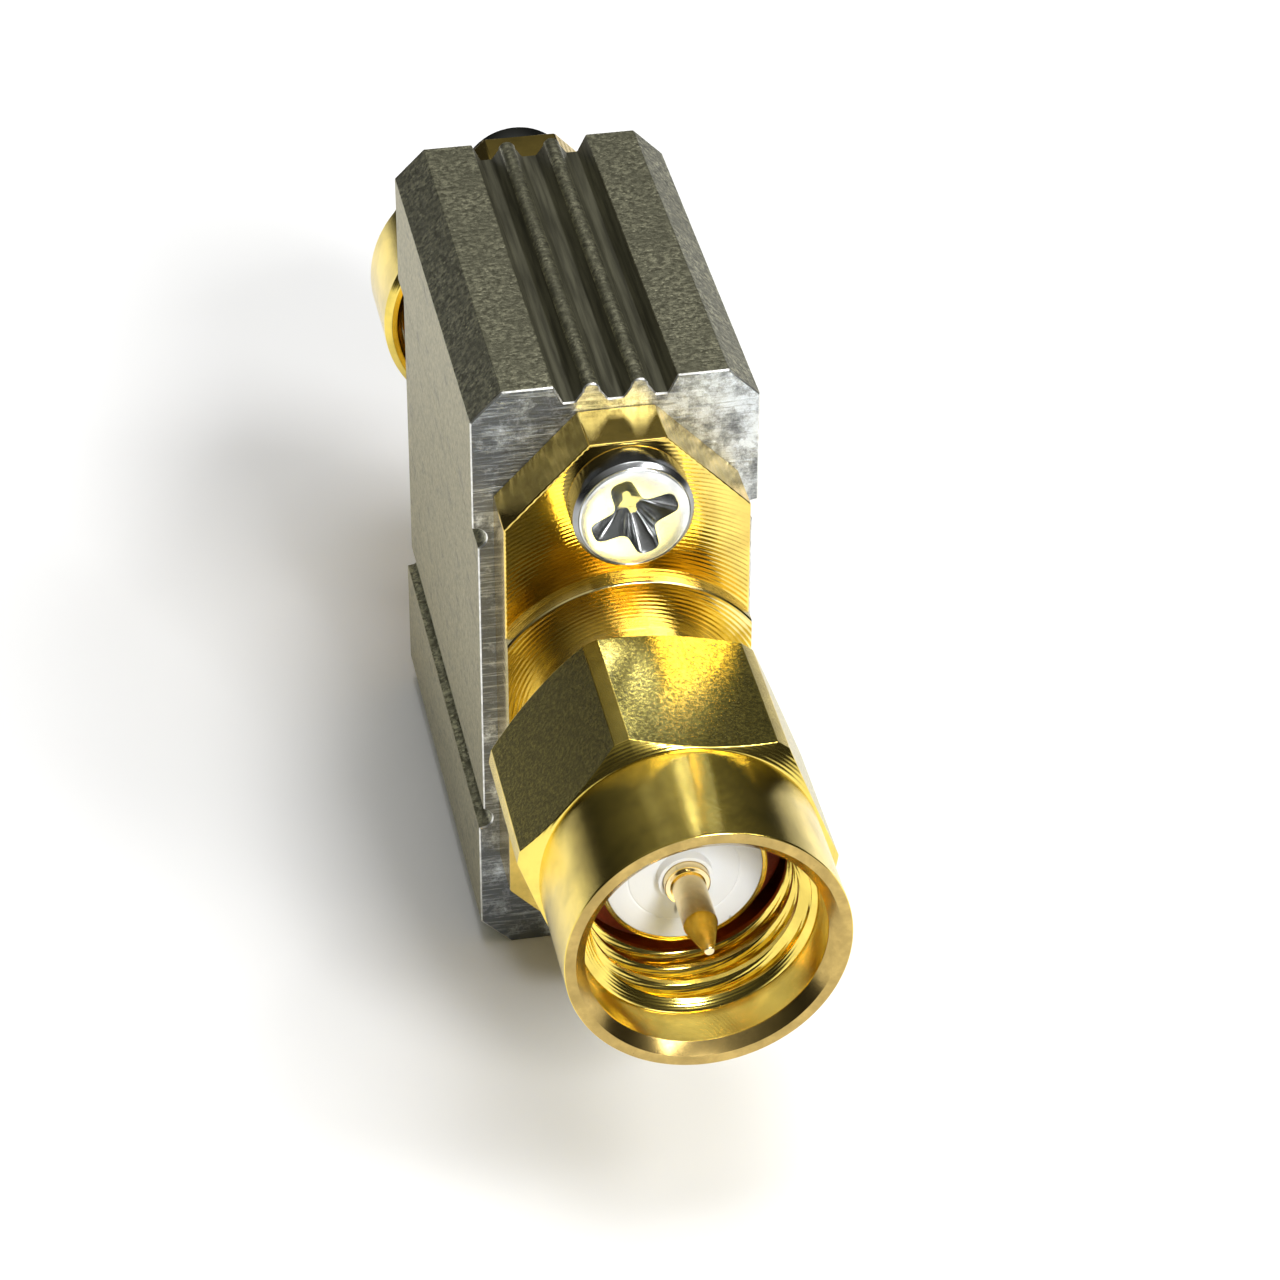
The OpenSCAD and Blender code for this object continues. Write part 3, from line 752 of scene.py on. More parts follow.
def sawn_aluminium():
    """Sawn ends: bluish, darker towards -x and lighter towards +x as a painted reflection, with random
    patches and crossing saw lines.
    """
    paint = Paint("sawn_aluminium", hue("sawn"), 0.36, 1.0)
    # Painted reflection: the face grows darker towards -x and lighter towards +x.
    across = paint.span(paint.along("X"), -0.09, 0.02, -3.0, 3.0, "SMOOTHSTEP")
    cuts = paint.noise(1, 5, 0.7, stretch=(0.6, 1, 12), turn=(0, math.radians(24), 0))
    cross = paint.noise(1, 4, 0.7, stretch=(0.8, 1, 14), turn=(0, math.radians(-38), 0))
    patches = paint.reckon("ADD", paint.noise(1.1, 6, 0.75), across)
    shade = paint.tones(patches, (0.42, 0.42), (0.5, 0.9), (0.6, 2.0))
    shade = paint.over(shade, paint.ramp(cuts, (0.52, 0.0), (0.64, 0.6)), 1.6)
    shade = paint.over(shade, paint.ramp(cross, (0.56, 0.0), (0.66, 0.6)), 0.35)
    paint.bump(cuts, 0.03, 0.9)
    paint.bump(cross, 0.02, 0.7)
    paint.bump(paint.noise(12, 4, 0.7), 0.02, 0.8)
    return paint.finish(shade, paint.span(patches, 0.46, 0.26))


def turned_gold(name, tone, roughness, rings=0.0035, bands=0.0012):
    """Gold plate over turned brass: fine rings on faces and fine bands round cylinders, of given depths."""
    paint = Paint(name, tone, roughness, 1.0)
    axis = (0, 0, -sizes("housing").high / 2)
    stain = paint.noise(0.9, 4, 0.6)
    paint.bump(paint.marks("RINGS", 0.13, 0.15, shift=axis), rings, 0.8)
    paint.bump(paint.marks("BANDS", 0.05, 0.1, shift=axis), bands, 0.8)
    paint.bump(paint.noise(12, 3), 0.001, 0.5)
    shade = paint.tones(stain, (0.35, 0.8), (0.6, 1.06))
    return paint.finish(shade, paint.span(stain, roughness * 1.25, roughness * 0.8))


def worn_gold():
    """The rim of the coupling nut: gold plate darkened as painted shade, with brown stains and pits in
    patches.
    """
    paint = Paint("worn_gold", hue("rim"), 0.24, 1.0)
    stain = paint.noise(1.1, 4, 0.65)
    pits = paint.noise(7, 3, 0.6)
    shade = paint.tones(stain, (0.36, 0.7), (0.5, 0.84), (0.64, 1.05))
    shade = paint.over(shade, paint.ramp(pits, (0.28, 0.6), (0.34, 0.0)), 0.3)
    paint.bump(pits, 0.002, 0.6)
    return paint.finish(shade, paint.span(stain, 0.24, 0.14))


def satin_flats():
    """The milled flats of the coupling nut: matte plate with fine dark speckle."""
    polish = sizes("finish").flat_polish
    paint = Paint("satin_flats", hue("flat_gold"), polish, 1.0)
    speckle = paint.noise(10, 2, 0.6)
    paint.bump(speckle, 0.002, 0.8)
    shade = paint.tones(speckle, (0.3, 0.25), (0.5, 0.58), (0.66, 1.0))
    return paint.finish(shade, paint.span(speckle, polish * 1.3, polish * 0.8))


def nickel_plate(name="nickel_plate", by=1.0, metallic=0.75):
    """Pale plated steel with light handling scratches, its tone times a factor."""
    paint = Paint(name, scaled(hue("nickel"), by), 0.2, metallic)
    clouds = paint.noise(2.2, 3)
    paint.bump(paint.noise(3, 3, stretch=(1, 9, 1.5), turn=(0.3, 0.5, 0.4)), 0.003, 0.5)
    return paint.finish(paint.tones(clouds, (0.35, 0.82), (0.62, 1.06)), paint.span(clouds, 0.28, 0.16))


def white_insulator():
    """Waxy white plastic with a few tiny dark specks."""
    paint = Paint("white_insulator", hue("insulator"), 0.42)
    specks = paint.cells(1.6, stretch=(1, 1, 0.3), turn=(0, 0.6, 0))
    shade = paint.over(paint.tone, paint.span(paint.noise(1.4, 3), 0.0, 0.35), 0.86)
    shade = paint.over(shade, paint.ramp(specks, (0.05, 0.8), (0.11, 0.0)), 0.25)
    paint.bump(paint.noise(18, 2), 0.004, 0.6)
    paint.put("Subsurface Weight", 0.15)
    paint.put("Subsurface Radius", (0.0004, 0.0004, 0.00035))
    return paint.finish(shade)


def plain_grain(name, tone, roughness, metallic, scale=6.0, relief=0.004):
    """A quiet material with a little grain and tone variation."""
    paint = Paint(name, tone, roughness, metallic)
    grain = paint.noise(scale, 4, 0.6)
    paint.bump(grain, relief, 0.6)
    shade = paint.tones(grain, (0.3, 0.75), (0.7, 1.15))
    return paint.finish(shade, paint.span(grain, roughness * 1.2, roughness * 0.85))


def plated_chip(name, tone, node):
    """A chip part: a coloured middle and plated ends, split by place along its length."""
    roughness, cap = 0.5, 0.32
    low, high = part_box(node)
    side, centre = high - low, (low + high) / 2 / MM
    paint = Paint(name, tone, roughness)
    place = paint.along("Y" if side.y > side.z else "Z", shift=tuple(-c for c in centre))
    half = max(side.y, side.z) / MM / 2
    plated = paint.reckon("GREATER_THAN", paint.reckon("ABSOLUTE", place), half - cap)
    paint.tree.links.new(plated, paint.shader.inputs["Metallic"])
    grain = paint.noise(9, 3, shift=tuple(-c for c in centre))
    paint.bump(grain, 0.004, 0.5)
    shade = paint.mix(plated, paint.tones(grain, (0.3, 0.8), (0.7, 1.15)), hue("tin"))
    return paint.finish(shade, paint.span(plated, roughness, 0.3))


# Operators


class BuildHousing(bpy.types.Operator):
    """Extrude the ribbed housing and cut its cavity and tapped holes"""

    bl_idname = "filter.housing"
    bl_label = "Housing"

    def outline(self, h):
        """One ribbed edge and one relieved side, then the same turned half round."""
        half_w, half_h, sunk = h.wide / 2, h.high / 2, h.high / 2 - h.depth
        top = [(half_w, half_h - h.chamfer), (half_w - h.chamfer, half_h)]
        top += [(h.mouth / 2, half_h), (h.floor / 2, sunk)]
        for middle in (h.rib_pitch / 2, -h.rib_pitch / 2):
            top.append((middle + h.rib_foot / 2, sunk))
            top += arc(middle, half_h - h.rib_top / 2, h.rib_top / 2, 0, math.pi)
            top.append((middle - h.rib_foot / 2, sunk))
        top += [(-h.floor / 2, sunk), (-h.mouth / 2, half_h)]
        top += [(h.chamfer - half_w, half_h), (-half_w, half_h - h.chamfer)]
        groove, field = h.groove / 2, h.field / 2
        side = [(-half_w, field + groove)]
        side += arc(h.groove_depth - groove - half_w, field, groove, math.pi / 2, -math.pi / 2)
        side = [p for p in side if p[0] >= -half_w + h.field_depth / 2 or p[1] > field]
        side.append((-half_w + h.field_depth, field - groove))
        half = top + side + [(x, -y) for x, y in reversed(side)]
        return half + [(-x, -y) for x, y in half]

    def execute(self, context):
        h, screw, flange = sizes("housing", "screw", "flange")
        section = softened(self.outline(h), h.soft, steps=2, least=0.5)
        shell = eased(prism("housing_extrusion", section, -h.long, 0), h.burr, 1, 60)
        half_w, half_h, far = h.cavity_wide / 2, h.cavity_high / 2, -h.long - PAST
        cavity = block("cavity", (-half_w, -half_h, far), (half_w, half_h, PAST))
        tall = half_h + h.slot_depth
        slots = block("slots", (-h.slot_off - h.slot_wide, -tall, far), (-h.slot_off, tall, PAST))
        cut(shell, added(cavity, slots))
        deep = screw.long - flange.thick + 2 * screw.pitch
        for up in (screw.apart / 2, -screw.apart / 2):
            for low, high in ((-deep, PAST), (far, deep - h.long)):
                cut(shell, rod("tap", screw.shank / 2, low, high, up, 32))
        coats = [blasted_aluminium(), channel_aluminium(), sawn_aluminium(), drawn_aluminium()]
        coats.append(plain_grain("burr_aluminium", hue("burr"), 0.3, 1.0, 5.0, 0.02))
        fitted(shell, "root", "housing", "housing_aluminium", *coats)
        # The floor and low flanks of the channels get the painted shade.
        floor, flank = h.high / 2 - h.depth * 1.2, h.high / 2 - h.depth * 0.34
        relieved = h.wide / 2 - h.field_depth * 1.2

        def in_shaded_channel(c, n, a):
            return floor < abs(c.y) < flank and abs(c.x) < h.mouth / 2 and abs(n.z) < 0.5

        repainted(shell, "channel_aluminium", in_shaded_channel)
        repainted(shell, "drawn_aluminium", lambda c, n, a: abs(c.x) > relieved and abs(n.x) > 0.9)
        # The rounded edges round the sawn ends get the painted highlight.
        repainted(shell, "burr_aluminium", lambda c, n, a: 0.3 < abs(n.z) < 0.9)
        repainted(shell, "sawn_aluminium", lambda c, n, a: abs(n.z) > 0.9)
        shaded(placed(shell, "plug"))
        return {"FINISHED"}


def flanged(name, barrel, end):
    """A flange with its hub, joined to the turned barrel that stands on it and bored for its insulator."""
    f, screw = sizes("flange", "screw")
    side, tip = f.straight / 2, f.high / 2
    outline = [(f.wide / 2, -side), (f.wide / 2, side), (f.tip / 2, tip), (-f.tip / 2, tip)]
    outline += [(-x, -y) for x, y in outline]
    plate = prism(name, softened(outline, 0.12), 0, f.thick)
    eased(plate, f.soft, 2, 50)
    foot, top = f.thick - 0.5, f.thick + f.hub_high
    hub = turned("hub", [(0, foot), (f.hub / 2, foot), (f.hub / 2, top), (0, top)], f.hub_soft)
    for turn in (1, -1):
        slice_off(hub, (turn * f.wide / 2, 0, 0), (turn, 0, 0))
    added(added(plate, hub), barrel)
    for up in (screw.apart / 2, -screw.apart / 2):
        cut(plate, rod("hole", f.hole / 2, -PAST, f.thick + PAST, up, 48))
    return cut(plate, rod("seat", f.seat / 2, -PAST, end + PAST))


class BuildPlugBody(bpy.types.Operator):
    """Mill the plug's flange and turn its hub, neck and front sleeve"""

    bl_idname = "filter.plug_body"
    bl_label = "Plug body"

    def execute(self, context):
        f, p, finish = sizes("flange", "plug", "finish")
        neck, groove, sleeve = p.neck / 2, p.neck / 2 - p.ring_deep, p.sleeve / 2
        low, high = p.ring_at - p.ring_wide / 2, p.ring_at + p.ring_wide / 2
        profile = [(0, ROOTED), (neck, ROOTED), (neck, low), (groove, low), (groove, high), (neck, high)]
        profile += [(neck, p.neck_end), (sleeve, p.neck_end), (sleeve, p.sleeve_end), (0, p.sleeve_end)]
        body = flanged("plug_body_turned", turned("neck", profile, 0.035), p.sleeve_end)
        gold = turned_gold("turned_gold", hue("gold"), finish.gold_polish)
        # A paler copy of the gold plate for the neck, sleeve and hub face, as a painted highlight.
        pale = turned_gold("turned_neck_gold", hue("neck_gold"), finish.nut_polish, 0.005, 0.008)
        fitted(body, "root", "plug_body", "gold_plate", gold, pale)
        face, wide = f.thick + 0.02, f.hub / 2 + 0.1
        repainted(body, "turned_neck_gold", lambda c, n, a: c.z > face and c.xy.length < wide)
        shaded(placed(body, "plug"))
        return {"FINISHED"}


class BuildJackBody(bpy.types.Operator):
    """Mill the jack's flange and cut the thread of its barrel"""

    bl_idname = "filter.jack_body"
    bl_label = "Jack body"

    def execute(self, context):
        f, j, n, finish = sizes("flange", "jack", "nut", "finish")
        core, crest, socket, end = j.core / 2, j.thread / 2, j.socket / 2, j.end
        barrel = turned("barrel", [(0, ROOTED), (core, ROOTED), (core, end), (0, end)], 0.04)
        body = flanged("jack_body_turned", barrel, end)
        floor, over = end - j.socket_deep, end + 0.04
        bore = [(0, floor), (socket, floor), (socket, end - 0.08), (socket + 0.12, over), (0, over)]
        cut(body, turned("socket", bore))
        start = f.thick + f.hub_high
        ridge = thread(core, crest, n.pitch, n.pitch / 16, 0.1, start, end + n.pitch)
        keep = [(core - 0.15, start + 0.25), (core, start + 0.25), (crest + 0.1, start + 0.65)]
        keep += [(crest + 0.1, end - j.chamfer + 0.08), (crest - j.chamfer, end), (core - 0.15, end)]
        joined(body, combined(ridge, turned("keep", keep, closed=True), "INTERSECT"))
        gold = turned_gold("turned_gold_jack", hue("gold"), finish.gold_polish)
        shaded(placed(fitted(body, "root", "jack_body", "gold_plate", gold), "jack"))
        return {"FINISHED"}


def hexagon(name, n):
    """A turned blank with chamfered ends whose six flats are milled off."""
    corner = n.flats / 2 / math.cos(math.pi / 6) - n.corner_cut
    bevel = corner - n.flats / 2 + 0.05
    rise = bevel * math.tan(math.pi / 6)
    low, high = n.back, n.hex_end
    profile = [(0, low), (corner - bevel, low), (corner, low + rise), (corner, high - rise)]
    blank = turned(name, profile + [(corner - bevel, high), (0, high)])
    for k in range(6):
        swing = math.pi / 6 + k * math.pi / 3
        out = Vector((math.cos(swing), math.sin(swing), 0))
        slice_off(blank, out * n.flats / 2, out)
    return eased(blank, n.soft, 2, 12)


class BuildCouplingNut(bpy.types.Operator):
    """Mill the coupling nut's hexagon, turn its collar and cut its thread"""

    bl_idname = "filter.coupling_nut"
    bl_label = "Coupling nut"

    def inside(self, n, p):
        """Profile of the nut's bore, with its ring groove, run-out, thread root, mouth and rim."""
        bore, ring, runout, root = n.bore / 2, n.ring_bore / 2, n.runout / 2, n.root / 2
        low, high, shoulder = p.ring_at - p.ring_wide / 2, p.ring_at + p.ring_wide / 2, p.neck_end - 0.08
        start, stop, mouth = n.thread_from, n.front - n.mouth_deep, n.mouth / 2
        profile = [(0, n.back - PAST), (bore + 1.1, n.back - PAST), (bore, n.back + 0.1), (bore, low)]
        profile += [(ring, low), (ring, high), (bore, high), (bore, shoulder), (runout, shoulder)]
        profile += [(runout, start), (root, start + 0.1), (root, stop - 0.1), (mouth, stop)]
        profile += [(mouth, n.front - n.mouth_chamfer), (n.rim / 2, n.front)]
        return profile + [(n.rim / 2 + 0.02, n.front + 0.02), (0, n.front + 0.02)]

    def execute(self, context):
        n, p, finish = sizes("nut", "plug", "finish")
        nut = hexagon("coupling_nut_milled", n)
        foot, collar = n.back + 0.5, n.collar / 2
        added(nut, turned("collar", [(0, foot), (collar, foot), (collar, n.front), (0, n.front)], 0.06))
        cut(nut, turned("bore", self.inside(n, p), 0.05))
        root, crest, start, stop = n.root / 2, n.crest / 2, n.thread_from, n.front - n.mouth_deep
        ridge = thread(root, crest, n.pitch, n.pitch / 9, 0.08, start - n.pitch, stop + n.pitch)
        keep = [(root + 0.09, start), (root - 0.02, start + 0.05), (crest - 0.02, start + 0.3)]
        keep += [(crest - 0.02, stop - 0.3), (root - 0.02, stop - 0.05), (root + 0.09, stop)]
        joined(nut, combined(ridge, turned("keep", keep, closed=True), "INTERSECT"))
        gold = turned_gold("turned_nut_gold", hue("nut_gold"), finish.nut_polish, 0.0015, 0.003)
        fitted(nut, "coupling_nut", "coupling_nut", "nut_gold", gold, satin_flats(), worn_gold())

        # The rim's front and inner chamfer get the gold darkened as painted shade, with stains.
        def at_rim(c, m, a):
            return c.z > n.front - 0.4 and (m.z > 0.95 or m.z > 0.4 and c.xy.length < n.rim / 2)

        repainted(nut, "satin_flats", lambda c, m, a: abs(m.z) < 0.1 and a > 3 and c.z < n.hex_end)
        repainted(nut, "worn_gold", at_rim)
        shaded(placed(nut, "plug", n.turn))
        return {"FINISHED"}


class BuildJackNut(bpy.types.Operator):
    """Turn the jack's round nut and mill its two spanner slots"""

    bl_idname = "filter.jack_nut"
    bl_label = "Jack nut"

    def execute(self, context):
        n, finish = sizes("nut", "finish")
        low, high, edge, lead = n.jack_at, n.jack_at + n.jack_thick, n.jack_chamfer, 0.2
        bore, out, wide = n.jack_bore / 2, n.jack_wide / 2, n.jack_slot / 2
        profile = [(bore + lead, low), (out - edge, low), (out, low + edge), (out, high - edge)]
        profile += [(out - edge, high), (bore + lead, high), (bore, high - lead), (bore, low + lead)]
        nut = turned("jack_nut_turned", profile, 0.08, closed=True)
        slot = block("slot", (-out - PAST, -wide, high - n.jack_slot_deep), (out + PAST, wide, high + PAST))
        cut(nut, eased(slot, 0.08, 2, 80))
        gold = turned_gold("turned_jack_nut_gold", hue("nut_gold"), finish.nut_polish)
        shaded(placed(fitted(nut, "jack_nut", "jack_nut", "nut_gold", gold), "jack", n.jack_turn))
        return {"FINISHED"}


class BuildInsulators(bpy.types.Operator):
    """Turn the two white insulators and the gasket"""

    bl_idname = "filter.insulators"
    bl_label = "Insulators and gasket"

    def execute(self, context):
        p, j = sizes("plug", "jack")
        white = white_insulator()
        out, bore, face = p.insulator / 2, p.bore / 2, p.sleeve_end
        boss, top, mark, wide = bore + p.boss_wall, face + p.boss_high, p.mark / 2, p.mark_wide / 2
        profile = [(bore, 0), (out, 0), (out, face), (mark + wide, face), (mark, face - p.mark_deep)]
        profile += [(mark - wide, face), (boss, face), (boss, top), (bore, top)]
        plug = turned("plug_insulator_turned", profile, 0.03, closed=True, steps=2)
        shaded(placed(fitted(plug, "root", "plug_insulator", "white_insulator", white), "plug"), 50)
        end = j.end - j.socket_deep
        profile = [(bore, 0), (out, 0), (out, end), (bore + 0.08, end), (bore, end - 0.06)]
        jack = turned("jack_insulator_turned", profile, 0.03, closed=True, steps=2)
        shaded(placed(fitted(jack, "root", "jack_insulator", "white_insulator", white), "jack"), 50)
        low, high, out, bore = p.neck_end, p.neck_end + p.gasket_thick, p.gasket / 2, p.sleeve / 2 + 0.01
        profile = [(bore, low), (out, low), (out, high), (bore, high)]
        seal = turned("gasket_moulded", profile, 0.28, closed=True, steps=5)
        rubber = plain_grain("red_rubber", hue("gasket"), 0.55, 0.0, 9.0, 0.006)
        shaded(placed(fitted(seal, "root", "plug_gasket", "red_silicone", rubber), "plug"), 60)
        return {"FINISHED"}


def tail(p, side):
    """The half-round tail of a contact that lies on the board."""
    profile = [(0, -p.tail), (p.pin / 2, -p.tail), (p.pin / 2, 0.2), (0, 0.2)]
    made = turned("tail", profile, 0.05, wheel=TINY_WHEEL)
    return slice_off(made, (side * p.tail_flat, 0, 0), (side, 0, 0))


class BuildContacts(bpy.types.Operator):
    """Turn the centre pin and the slotted centre socket"""

    bl_idname = "filter.contacts"
    bl_label = "Contacts"

    def execute(self, context):
        p, j, finish = sizes("plug", "jack", "finish")
        gold = turned_gold("contact_gold", hue("contact"), finish.nut_polish, 0.0015)
        shank, thin = p.shank / 2, p.pin / 2
        profile = [(0, 0), (shank, 0), (shank, p.shank_end), (thin, p.shank_end)]
        profile += [(thin, p.pin_end - p.point), (p.point_tip / 2, p.pin_end), (0, p.pin_end)]
        pin = turned("plug_pin_turned", profile, 0.05, wheel=SMALL_WHEEL, least=0.2)
        added(pin, tail(p, -1))
        shaded(placed(fitted(pin, "root", "plug_contact", "contact_gold", gold), "plug"))
        end = j.end - j.socket_deep
        deep, bore, wide, low = end - j.contact_deep, j.contact_bore / 2, j.slot / 2, end - j.slot_long
        profile = [(0, 0), (shank, 0), (shank, end), (bore + 0.05, end), (bore, end - 0.06)]
        profile += [(bore, deep), (0, deep - 0.2)]
        socket = turned("jack_socket_turned", profile, 0.03, wheel=SMALL_WHEEL)
        cut(socket, block("slot", (-wide, -PAST, low), (wide, PAST, end + 0.1)))
        cut(socket, block("slot", (-PAST, -wide, low), (PAST, wide, end + 0.1)))
        added(socket, tail(p, 1))
        shaded(placed(fitted(socket, "root", "jack_contact", "contact_gold", gold), "jack"))
        return {"FINISHED"}


class BuildScrews(bpy.types.Operator):
    """Turn one screw, cut its cross recess and thread, and copy it to its four places"""

    bl_idname = "filter.screws"
    bl_label = "Screws"

    def recess(self, s):
        """A cross with rounded wings that tapers to a small floor, set in the screw's head."""
        half, arm = s.recess / 2, s.wing / 2
        corner = arm * 1.3
        plus = []
        for c, n in ((1, 0), (0, 1), (-1, 0), (0, -1)):
            for x, y in ((half, -arm), (half, arm), (corner, corner)):
                plus.append((x * c - y * n, x * n + y * c))
        cross = trace("recess", [(x, y, 0.1) for x, y in softened(plus, 0.28, steps=4)])
        edit(cross)
        bpy.ops.mesh.edge_face_add()
        for drop, narrower in ((0.2, 0.92), (0.3, 0.7), (s.recess_deep - 0.4, 0.45)):
            bpy.ops.mesh.extrude_region_move(TRANSFORM_OT_translate={"value": (0, 0, -drop)})
            bpy.ops.transform.resize(value=(narrower, narrower, 1), center_override=(0, 0, 0))
        solo(tidy(cross)).location = (0, 0, s.head_high)
        return settled(cross)

    def profile(self, s):
        """Half of the screw's section: its tip, its core and its head with a thin raised rim."""
        core, head, rim, top, step = s.core / 2, s.head / 2, s.head / 2 - s.bevel, s.head_high, s.bevel
        tip = [(0, -s.long), (core - 0.1, -s.long), (core, -s.long + 0.15), (core, 0)]
        side = [(head, 0), (head, top - 1.5 * step), (rim, top - 0.3 * step)]
        lip = [(rim - 0.03, top - 0.5 * step), (rim - 0.07, top - 0.2 * step)]
        return tip + side + lip + [(rim - 0.3, top), (0, top)]

    def execute(self, context):
        s, f = sizes("screw", "flange")
        screw = turned("screw", self.profile(s), 0.05, wheel=SMALL_WHEEL)
        cut(screw, self.recess(s))
        land, low, high = s.pitch / 16, 0.2 - s.long, -0.25
        joined(screw, thread(s.core / 2, s.shank / 2, s.pitch, land, 0.04, low, high, 32))
        solo(screw).location = (0, 0, f.thick)
        settled(screw)
        # The head's side, its recess and its bevel get darker copies of the nickel as painted shade.
        bright, side = nickel_plate(), nickel_plate("dull_nickel_side", 0.2, 1.0)
        recess_and_bevel_shade = nickel_plate("pressed_nickel_recess", 0.42, 1.0)
        foot, face, rim, half = f.thick, f.thick + s.head_high - 0.02, s.head / 2 - s.bevel, s.recess / 2

        def on_side(c, n, a):
            return c.z > foot and abs(n.z) < 0.3 and c.xy.length > rim

        def in_recess_or_bevel(c, n, a):
            across = c.xy.length
            return foot < c.z < face and across < half or c.z > foot and across > rim - 0.04 and n.z >= 0.3

        for end, level in (("plug", "upper"), ("plug", "lower"), ("jack", "upper"), ("jack", "lower")):
            node = f"{end}_screw_{level}"
            made = copied(screw, f"{node}_turned")
            fitted(made, "root", node, "nickel_screw", bright, side, recess_and_bevel_shade)
            # Painted shade on the side of the head, then on the recess and the bevel.
            repainted(made, "dull_nickel_side", on_side)
            repainted(made, "pressed_nickel_recess", in_recess_or_bevel)
            up = s.apart / 2 if level == "upper" else -s.apart / 2
            shaded(placed(made, end, getattr(s, f"{end}_{level}"), up))
        bpy.data.objects.remove(screw)
        return {"FINISHED"}


class PaintInside(bpy.types.Operator):
    """Give the board, its parts, the solder and the snap ring their materials"""

    bl_idname = "filter.inside"
    bl_label = "Board and inner parts"

    def execute(self, context):
        tin = plain_grain("bright_solder", hue("tin"), 0.25, 1.0, 4.0, 0.01)
        coats = {
            "snap_ring": plain_grain("spring_bronze", hue("bronze"), 0.35, 1.0),
            "circuit_board": plain_grain("green_board", hue("board"), 0.35, 0.0, 2.0, 0.01),
            "filter_element": plain_grain("filter_ceramic", hue("ceramic"), 0.45, 0.0),
            "input_inductor": plated_chip("input_ferrite", hue("ferrite"), "input_inductor"),
            "output_inductor": plated_chip("output_ferrite", hue("ferrite"), "output_inductor"),
            "input_capacitor": plated_chip("input_chip", hue("chip"), "input_capacitor"),
            "output_capacitor": plated_chip("output_chip", hue("chip"), "output_capacitor"),
            "plug_solder": tin,
            "jack_solder": tin,
        }
        for node, coat in coats.items():
            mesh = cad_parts[node].data
            mesh.materials.clear()
            mesh.materials.append(coat)
        return {"FINISHED"}


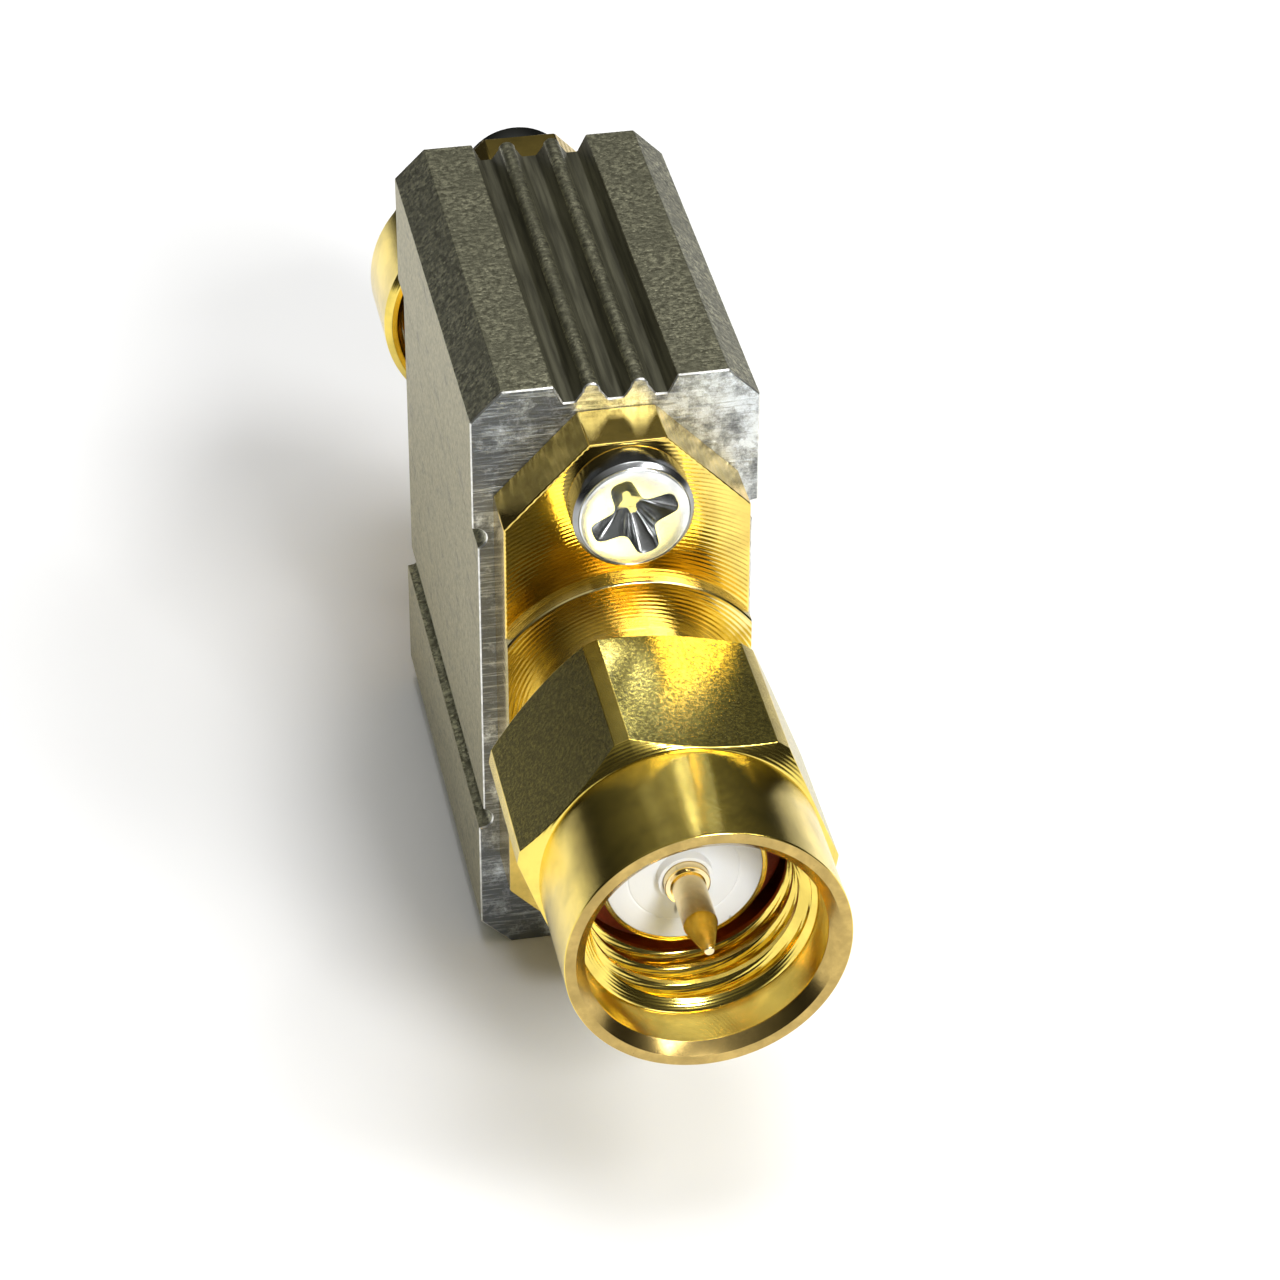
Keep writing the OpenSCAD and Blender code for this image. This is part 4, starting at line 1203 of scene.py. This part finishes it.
class BuildStudio(bpy.types.Operator):
    """Lay the pale floor and set the lamps, the room and the camera"""

    bl_idname = "filter.studio"
    bl_label = "Studio"

    def lay_floor(self, s):
        """A pale floor that darkens far from the object, so that the metal has something to reflect."""
        solo()
        bpy.ops.mesh.primitive_plane_add(size=s.floor * MM)
        floor = bpy.context.object
        floor.name = "studio_floor"
        near, far = (s.floor_shade,) * 3, (s.far_shade,) * 3
        paper = Paint("pale_paper", near, 0.9)
        paper.put("Specular IOR Level", 0.1)
        away = wired(paper.tree, "VectorMath", {0: paper.grid()}, operation="LENGTH").outputs["Value"]
        reach = paper.span(away, 0.0, 1.0, s.fade_from, s.fade_to, "SMOOTHSTEP")
        floor.data.materials.append(paper.finish(paper.mix(reach, near, far)))

    def hang_lamp(self, name, side, power, place):
        """A square soft lamp that faces the object."""
        solo()
        bpy.ops.object.light_add(type="AREA", location=place)
        lamp = bpy.context.object
        lamp.name = name
        lamp.data.shape = "SQUARE"
        lamp.data.size = side * MM
        lamp.data.energy = power
        lamp.rotation_euler = (Vector(LAMP_AIM) - Vector(place)).to_track_quat("-Z", "Y").to_euler()

    def light_room(self, s):
        """A room with a dim horizon, a warm band above it and a bright ceiling."""
        world = bpy.data.worlds.new("studio_room")
        bpy.context.scene.world = world
        world.use_nodes = True
        tree = world.node_tree
        place = wired(tree, "TexCoord", {}).outputs["Generated"]
        height = wired(tree, "SeparateXYZ", {"Vector": place}).outputs["Z"]
        warm = (s.horizon, s.horizon, s.horizon * 0.85)
        band = tuple(5.0 * c for c in warm)
        shade = ramped(tree, height, ((0.0, s.horizon), (0.3, warm), (0.57, band), (1.0, s.zenith)))
        tree.links.new(shade, tree.nodes["Background"].inputs["Color"])

    def set_camera(self, s):
        """The photograph's viewpoint."""
        level, sink = math.cos(s.pitch), -math.sin(s.pitch)
        ahead = Vector((math.sin(s.yaw) * level, math.cos(s.yaw) * level, sink))
        right = Vector((math.cos(s.yaw), -math.sin(s.yaw), 0))
        down = ahead.cross(right)
        side = right * math.cos(s.roll) + down * math.sin(s.roll)
        up = right * math.sin(s.roll) - down * math.cos(s.roll)
        solo()
        bpy.ops.object.camera_add()
        eye = bpy.context.object
        place = Vector((s.eye_x, s.eye_y, s.eye_z)) * MM
        eye.matrix_world = Matrix.Translation(place) @ Matrix((side, up, -ahead)).transposed().to_4x4()
        eye.data.lens = s.lens
        eye.data.sensor_width = 36
        eye.data.clip_start, eye.data.clip_end = 0.001, 10
        bpy.context.scene.camera = eye

    def execute(self, context):
        s = sizes("studio")
        self.lay_floor(s)
        self.hang_lamp("key_lamp", s.key, s.key_power, KEY_PLACE)
        self.hang_lamp("side_lamp", s.side, s.side_power, SIDE_PLACE)
        self.hang_lamp("top_lamp", s.top, s.top_power, TOP_PLACE)
        self.light_room(s)
        self.set_camera(s)
        bpy.context.scene.view_settings.view_transform = "Standard"
        return {"FINISHED"}


class FilterPanel(bpy.types.Panel):
    """Sidebar panel that lists the steps."""

    bl_idname = "VIEW3D_PT_filter"
    bl_label = "Coaxial filter"
    bl_space_type = "VIEW_3D"
    bl_region_type = "UI"
    bl_category = "Filter"

    def draw(self, context):
        for step in STEPS:
            self.layout.operator(step.bl_idname)


STEPS = (
    BuildStudio,
    BuildHousing,
    BuildPlugBody,
    BuildJackBody,
    BuildCouplingNut,
    BuildJackNut,
    BuildInsulators,
    BuildContacts,
    BuildScrews,
    PaintInside,
)


def register():
    """Registers the settings, the operators and the panel."""
    for name, group in SETTINGS.items():
        bpy.utils.register_class(group)
        setattr(bpy.types.Scene, name, bpy.props.PointerProperty(type=group))
    for step in (*STEPS, FilterPanel):
        bpy.utils.register_class(step)


def unregister():
    """Takes them out again."""
    for step in (FilterPanel, *reversed(STEPS)):
        bpy.utils.unregister_class(step)
    for name, group in SETTINGS.items():
        delattr(bpy.types.Scene, name)
        bpy.utils.unregister_class(group)


def main():
    """Runs every step."""
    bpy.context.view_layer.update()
    register()
    for step in STEPS:
        family, name = step.bl_idname.split(".")
        getattr(getattr(bpy.ops, family), name)()
    solo()


if __name__ == "__main__":
    main()
